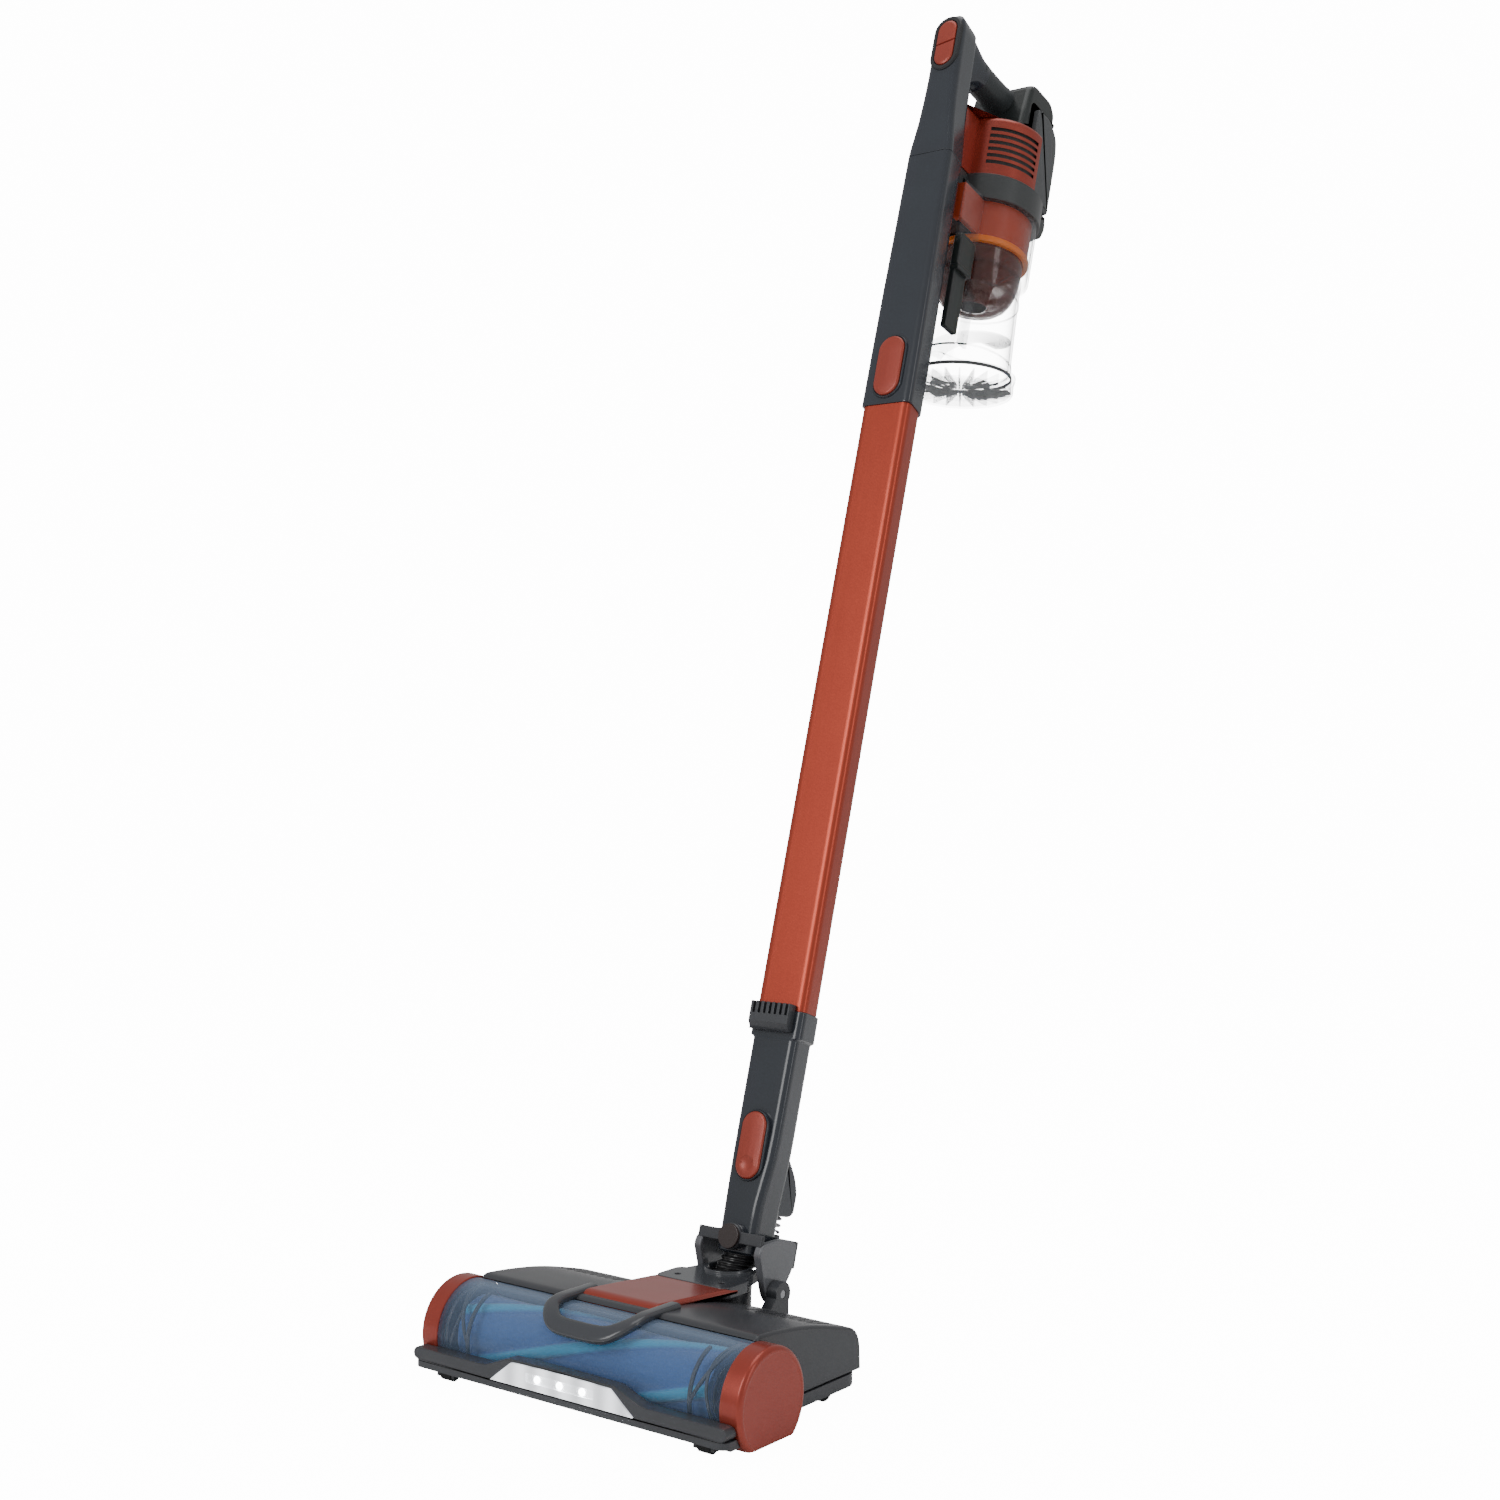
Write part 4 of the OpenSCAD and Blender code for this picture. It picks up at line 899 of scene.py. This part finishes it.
def round_plan(r, start, back=None, half=4):
    """Plan of a round body of radius r with straight cheeks that run forward to y = start."""
    first = math.asin(half / r)
    last = math.pi if back is None else math.pi / 2 + math.asin((back - drum_y) / r)
    turns = [first + (last - first) * k / 40 for k in range(41 if back else 40)]
    right = [(half, start)] + [(r * math.sin(a), drum_y - r * math.cos(a)) for a in turns]
    tail = [] if back else [(0, drum_y + r)]
    return [Vector(p) for p in right + tail + [(-x, y) for x, y in reversed(right)]]


def stacked(plan, levels):
    """Stands a plan outline up along the stick, one ring for each (s, inset)."""
    return loft([[on_stick(p.x, p.y, s) for p in inset(plan, d)] for s, d in levels])


drum_wall = 2.4
roll_edge = [(998 + 5 * math.sin(a), 5 * (1 - math.cos(a))) for a in [math.pi / 2 * k / 6 for k in range(7)]]
drum = made("drum", stacked(round_plan(drum_r, 19.5, 94), [(946, 0)] + roll_edge), "handheld", "copper_plastic",
            copper_abs, "motor_housing")
slots = []
for k in range(6):
    for side in (-1, 1):
        s = 957 + 6.3 * k
        sector = [(drum_r + 3, s), (drum_r + 3, s + 3.3), (drum_r - 6, s + 3.3), (drum_r - 6, s)]
        slots.append(spun(sector, *sorted((side * 22, side * 86)), 40))
carve(drum, stacked(round_plan(drum_r - drum_wall, 30, 91.6, 1.8), [(940, 0), (1000.6, 0)]), together(*slots))
dress("motor_can", drawn_steel, 0.3)
dress("motor_shaft", drawn_steel, 0.2)
light_abs = moulded("Light grey ABS", (0.30, 0.31, 0.34), (0.24, 0.25, 0.275), 0.25, coat=0.4, relief=0.03)
dress("fan_impeller", light_abs, 0.2)
pleats = moulded("Pleated filter paper", (0.10, 0.095, 0.09), (0.05, 0.048, 0.045), 0.9, relief=0.3)
dress("exhaust_filter", pleats, 0.2)

# ---- Housing band ----
# The charcoal ring that the cup latches to. It reaches back as a foot under the battery, and
# forward as a bridge to the duct.
band_abs = moulded("Charcoal band", (0.060, 0.064, 0.066), (0.045, 0.048, 0.05), 0.33, coat=0.3, relief=0.04)
band_r = 47
band = made("cup_band", stacked(round_plan(band_r, 19.5), [(922.3, 0.8), (923.1, 0), (944.4, 0), (945.8, 1.4)]),
            "handheld", "grey", band_abs, "housing_band")
carve(band, stacked(round_plan(36, 40), [(910, 0), (938, 0)]),
      spun([(0.5, 930), (16.5, 930), (16.5, 950), (0.5, 950)], centre=75))
foot = rounded([(92, 922.3, 1), (92, 945.8, 1), (133, 945.8, 2), (136, 934, 6), (131, 922.3, 3)], 4)
made("band_foot", pillow(foot, -35, 35, 4, on_stick), "handheld", "grey", band_abs)

# ---- Battery ----
# A slide-on pack in mid grey, its long edges chamfered, with a finger latch on its back.
battery_grey = moulded("Battery grey", (0.10, 0.105, 0.11), (0.08, 0.084, 0.088), 0.4, coat=0.2, relief=0.08)
pack_line = rounded([(94.2, 946.2, 0.5), (94.2, 1030.4, 1), (112, 1030.6, 4), (128, 1022, 14), (132, 1004, 12),
                     (132, 946.2, 2)], 6)
made("battery_case", pillow(pack_line, -37, 37, 3.6, on_stick, 5), "battery", "grey", battery_grey,
     "battery_pack")
dress("battery_latch", black_nylon, 0.3)

# ---- Cyclone separator ----
# Orange shroud, bright ring and smoked red cone, stacked on one axis inside the cup. Air spins
# down round them, and leaves through the black screen inside.
deep_orange = moulded("Deep orange shroud", (0.50, 0.062, 0.02), (0.42, 0.05, 0.018), 0.35, coat=0.4, relief=0.02)
shroud = made("shroud", stacked(round_plan(40.6, 24, None, 18.5), [(889.9, 0.6), (890.6, 0), (922.2, 0)]),
              "handheld", "copper_plastic", deep_orange, "separator_top")
carve(shroud, stacked(round_plan(36.5, 30, None, 14), [(880, 0), (930, 0)]),
      prism([(-11, 20), (11, 20), (11, 50), (-11, 50)], (880, 911), on_stick))
bright = moulded("Bright orange", (0.95, 0.22, 0.01), (0.88, 0.18, 0.01), 0.3, coat=0.4)
ring_line = [(38, 884), (41.6, 884), (42.4, 885), (42.4, 888.8), (41.6, 889.8), (38, 889.8)]
made("bright_ring", spun(ring_line), "handheld", "accent", bright, "accent_ring")
smoked_red = clear_plastic("Smoked red polycarbonate", (0.16, 0.035, 0.025), 0.55, 0.92, 1.2)
bucket = [(840, 14), (840.6, 20), (842.6, 26), (846, 30), (851, 33.2), (858, 35.6), (868, 37.2), (883.8, 38.4)]
cone = [(r, s) for s, r in bucket] + [(r - 1.8, s + (1.6 if s < 850 else 0)) for s, r in reversed(bucket)]
made("smoked_cone", spun(cone), "handheld", "smoked", smoked_red, "cyclone_cone")
fins = []
for turn in all_round(12):
    rings = []
    for t in range(9):
        f = t / 8
        r, at = 30.4 + 7 * f ** 0.6, turn + 0.9 * f
        rings.append([on_stick(q * math.sin(b), drum_y - q * math.cos(b), 848 + 34 * f)
                      for q, b in ((r, at - 0.03), (r, at + 0.03), (r - 2.6, at + 0.03), (r - 2.6, at - 0.03))])
    fins.append(loft(rings))
made("cone_fins", together(*fins), "handheld", "smoked", smoked_red)
dress("mesh_screen", black_nylon, 0)
dress("inlet_port", dark_abs, 0.4)

# ---- Dust cup ----
# One clear polycarbonate moulding: a wide collar over the shroud, a narrower bin below, and a
# flat nose against the duct. Its open bottom is cut at a slant.
clear = clear_plastic("Clear polycarbonate", (0.26, 0.28, 0.30), 0.03, 0.9, 3.6)
dense_clear = clear_plastic("Clear ribs", (0.14, 0.15, 0.16), 0.12, 0.8, 1.8)
lid_slope, lid_s = math.radians(9), 775.0
step_s, cup_r = 853.0, 45.0


def lid_height(y):
    return lid_s + (y - drum_y) * math.tan(lid_slope)


def cup_wall():
    rings = []
    for a in all_round(120):
        low = lid_height(drum_y - 41 * math.cos(a)) + 2.8
        line = [(low, 41.8), (low + (step_s - 4 - low) * 0.5, 40.4), (step_s - 4, 39.2), (868, 39.2)]
        inner_line = [(s, r - 1.8) for s, r in reversed(line)]
        rings.append([on_stick(r * math.sin(a), drum_y - r * math.cos(a), s) for s, r in line + inner_line])
    return loft(rings, loop=True)


def open_box(x, y0, y1, s0, s1, thick):
    """The nose: three thin walls, open towards the bin."""
    plan = [(x, y1), (x, y0), (-x, y0), (-x, y1), (-x + thick, y1), (-x + thick, y0 + thick),
            (x - thick, y0 + thick), (x - thick, y1)]
    return prism(plan, (s0, s1), on_stick)


nose = open_box(14.2, 26, 54.5, lid_height(40) + 5, 868, 1.8)
blade = prism([(10, 62), (13, 62), (13, 74), (10, 74)], (792, 868), on_stick)
made("cup_wall", together(cup_wall(), nose), "dust_cup", "clear", clear, "dust_cup")
collar_levels = [(867, 1.6), (869, 0), (921.4, 0), (922, 0.4)]
collar = made("cup_collar", stacked(round_plan(cup_r, 21.8, None, 21.6), collar_levels), "dust_cup", "clear", clear)
carve(collar, stacked(round_plan(cup_r - 1.6, 23.4, None, 20), [(869, 0), (930, 0)]),
      stacked(round_plan(37, 40, None, 6), [(860, 0), (880, 0)]),
      prism([(-19, 15), (19, 15), (19, 40), (-19, 40)], (860, 930), on_stick))
rims = [spun([(r, s), (r + 0.9, s), (r + 0.9, s + 1.4), (r, s + 1.4)]) for r, s in ((41.4, 786), (39.4, 846))]
made("cup_rims", together(*rims, blade), "dust_cup", "clear", dense_clear)
vane = []
for k in range(49):
    t = k / 48
    a = math.radians(-40 + 210 * t)
    s = 786 + 30 * t
    vane.append([on_stick(r * math.sin(a), drum_y - r * math.cos(a), s + d) for r, d in
                 ((20, 0), (38.2, 3), (38.2, 4.6), (20, 1.6))])
made("helix_vane", loft(vane), "dust_cup", "clear", dense_clear, "swirl_vane")
dress("lid_pin", zinc, 0.1)


# ---- Cup lid ----
# The clear floor of the cup, shaped like a teardrop and stiffened by radial ribs. It swings on a
# pin at the back, and a black lip seal closes it.
def on_lid(x, v, w):
    """A point on the lid's plane: x across, v up its slope from the cup's axis, w out of it."""
    c, s = math.cos(lid_slope), math.sin(lid_slope)
    return on_stick(x, drum_y + v * c - w * s, lid_s + v * s + w * c)


def round_lid(profile, steps):
    """Revolves an (r, w) profile round the lid's middle."""
    return loft([[on_lid(r * math.cos(a), r * math.sin(a), w) for r, w in profile] for a in all_round(steps)],
                loop=True)


lid_r, lid_deep = 46.5, 15
lid_plan = [(lid_r * math.cos(math.radians(a)), lid_r * math.sin(math.radians(a))) for a in range(-60, 241, 6)]
lid_plan += [(-19, -62), (-19, -67), (19, -67), (19, -62)]
lid_shape = rounded([(x, v, 6) for x, v in lid_plan[-4:]] + [(x, v, 0) for x, v in lid_plan[:-4]], 4)
rim_levels = [(3.4, -lid_deep), (1.6, -lid_deep + 0.5), (0.8, -lid_deep + 2), (0.4, -2.4), (-0.6, -2.0),
              (-0.8, 0.8), (0.2, 1.6), (2.2, 1.6), (2.4, 0.4), (2.6, 2.4 - lid_deep), (3.6, 2 - lid_deep)]
rib_foot = 1.8 - lid_deep
ribs = []
for turn in all_round(22):
    c, s = math.cos(turn + 0.1), math.sin(turn + 0.1)
    ribs.append(loft([[on_lid(r * c - w * s, r * s + w * c, h)
                       for w, h in ((-0.5, rib_foot), (0.5, rib_foot), (0.5, top), (-0.5, top))]
                      for r, top in ((9, 6 - lid_deep), (24, 8 - lid_deep), (43.2, 11 - lid_deep))]))
for r in (9, 26):
    ribs.append(round_lid([(r - 1, rib_foot), (r, rib_foot), (r, 9 - lid_deep), (r - 1, 9 - lid_deep)], 64))
knuckle = loft([[on_lid(x, 56 + 3.6 * math.cos(a), 3.6 * math.sin(a)) for a in all_round(24)] for x in (-14, 14)])
bracket = prism([(-14, 45), (14, 45), (14, 55), (-14, 55)], (-3.2, 0.4), on_lid)
dish = loft([[on_lid(p.x, p.y, w) for p in inset(lid_shape, d)] for d, w in rim_levels])
made("teardrop_lid", together(dish, knuckle, bracket), "cup_lid", "clear", clear, "cup_lid")
made("lid_ribs", together(*ribs), "cup_lid", "clear", dense_clear)
seal = round_lid([(42.4, -1.0), (43.6, -1.0), (43.6, 1.8), (42.6, 1.8)], 96)
seal_tpe = moulded("Seal rubber", (0.10, 0.10, 0.105), (0.07, 0.07, 0.075), 0.5)
made("lip_seal", seal, "cup_lid", "rubber", seal_tpe, "lid_seal")

# ---- Ejector slider ----
# A black thumb block with a long bar below it, beside the nose of the cup. Pushed down, it wipes
# the shroud and lets the lid swing open.
head_line = rounded([(26.2, 847, 2), (26.2, 876, 3), (50, 876, 3), (50, 847, 2)], 4)
step_line = rounded([(26.2, 842, 1.5), (26.2, 847.4, 1.5), (48, 847.4, 1.5), (48, 842, 1.5)], 3)
bar_line = rounded([(27, 790, 1.5), (27, 843, 1), (46, 843, 1), (46, 790, 1.5)], 3)
slider = together(pillow(head_line, 14.5, 22.2, 1.4, on_stick), pillow(step_line, 14.5, 23.6, 1.2, on_stick),
                  pillow(bar_line, 14.5, 19.8, 0.8, on_stick))
made("thumb_slider", slider, "ejector", "black", black_green_and_shade, "ejector_slider")

# ---- Wand release ----
# The orange key on the front of the handheld unit, in a raised dark rim. It draws the catch out
# of the wand.
wand_key_s = 736
rim_levels = [(0, -9), (0, -12.6), (0.7, -13.8), (1.4, -13.8), (1.8, -12.8), (1.8, -9)]
rim_shape = loft(pill_rings(28.6, 56.6, wand_key_s, rim_levels), loop=True)
made("release_rim", rim_shape, "handheld", "slate", slate_abs)
made("wand_key", key(24.2, 52.2, wand_key_s, -15.6, -9.5), "wand_release", "copper_plastic", copper_key,
     "wand_release")

# ---- Studio ----
# A pale seamless floor, a bright surround, and large soft lamps in front, at the right side and above.
floor_mesh = bpy.data.meshes.new("studio_floor")
reach, floor_z = 14, -0.0006
floor_mesh.from_pydata([(-reach, -reach, floor_z), (reach, -reach, floor_z), (reach, reach, floor_z),
                        (-reach, reach, floor_z)], [], [(0, 1, 2, 3)])
floor = bpy.data.objects.new("studio_floor", floor_mesh)
bpy.context.scene.collection.objects.link(floor)
paper = moulded("Pale floor", (0.93, 0.93, 0.93), (0.90, 0.90, 0.90), 0.9, relief=0.0)
# Both the floor and the surround look brighter to the camera than they light the scene.
seen = paper.node_tree.nodes.new("ShaderNodeLightPath")
glow = math_node(paper.node_tree, "MULTIPLY", (seen, "Is Camera Ray"), 14.0)
shader = paper.node_tree.nodes["Principled BSDF"]
shader.inputs["Emission Color"].default_value = (1, 1, 1, 1)
joining(paper.node_tree, glow, "Value", shader, "Emission Strength")
floor_mesh.materials.append(paper)
world = bpy.data.worlds.new("Studio")
world.use_nodes = True
sky = world.node_tree.nodes["Background"]
sky.inputs["Color"].default_value = (1, 1, 1, 1)
seen = world.node_tree.nodes.new("ShaderNodeLightPath")
extra = math_node(world.node_tree, "MULTIPLY", (seen, "Is Camera Ray"), 14.0)
joining(world.node_tree, math_node(world.node_tree, "ADD", (extra, "Value"), 0.42), "Value", sky, "Strength")
bpy.context.scene.world = world


def lamp(name, place, target, size, power):
    light = bpy.data.lights.new(name, "AREA")
    light.shape, light.size, light.size_y, light.energy = "RECTANGLE", size[0], size[1], power
    holder = bpy.data.objects.new(name, light)
    holder.location = place
    holder.rotation_euler = (Vector(target) - Vector(place)).to_track_quat("-Z", "Y").to_euler()
    bpy.context.scene.collection.objects.link(holder)


lamp("front_soft", (-0.6, -1.9, 1.5), (0, 0.2, 0.4), (1.0, 1.6), 20)
lamp("side_strip", (2.2, 0.2, 1.1), (0, 0.3, 0.5), (0.5, 1.8), 6)
lamp("top_soft", (0.1, 0.4, 2.6), (0, 0.3, 0), (1.6, 1.6), 14)

# ---- Camera ----
# A long lens at waist height, to the right of the head and in front of it.
camera = bpy.data.objects.new("camera", bpy.data.cameras.new("camera"))
camera.data.sensor_width = 36
camera.data.lens = 46.99
camera.location = (0.8774, -0.9567, 0.4358)
looks_at = Vector((0.0471, 0.1391, 0.4428))
tilt = (looks_at - camera.location).to_track_quat("-Z", "Y")
camera.rotation_mode = "QUATERNION"
camera.rotation_quaternion = tilt @ Quaternion((0, 0, 1), math.radians(0.55))
bpy.context.scene.collection.objects.link(camera)
bpy.context.scene.camera = camera
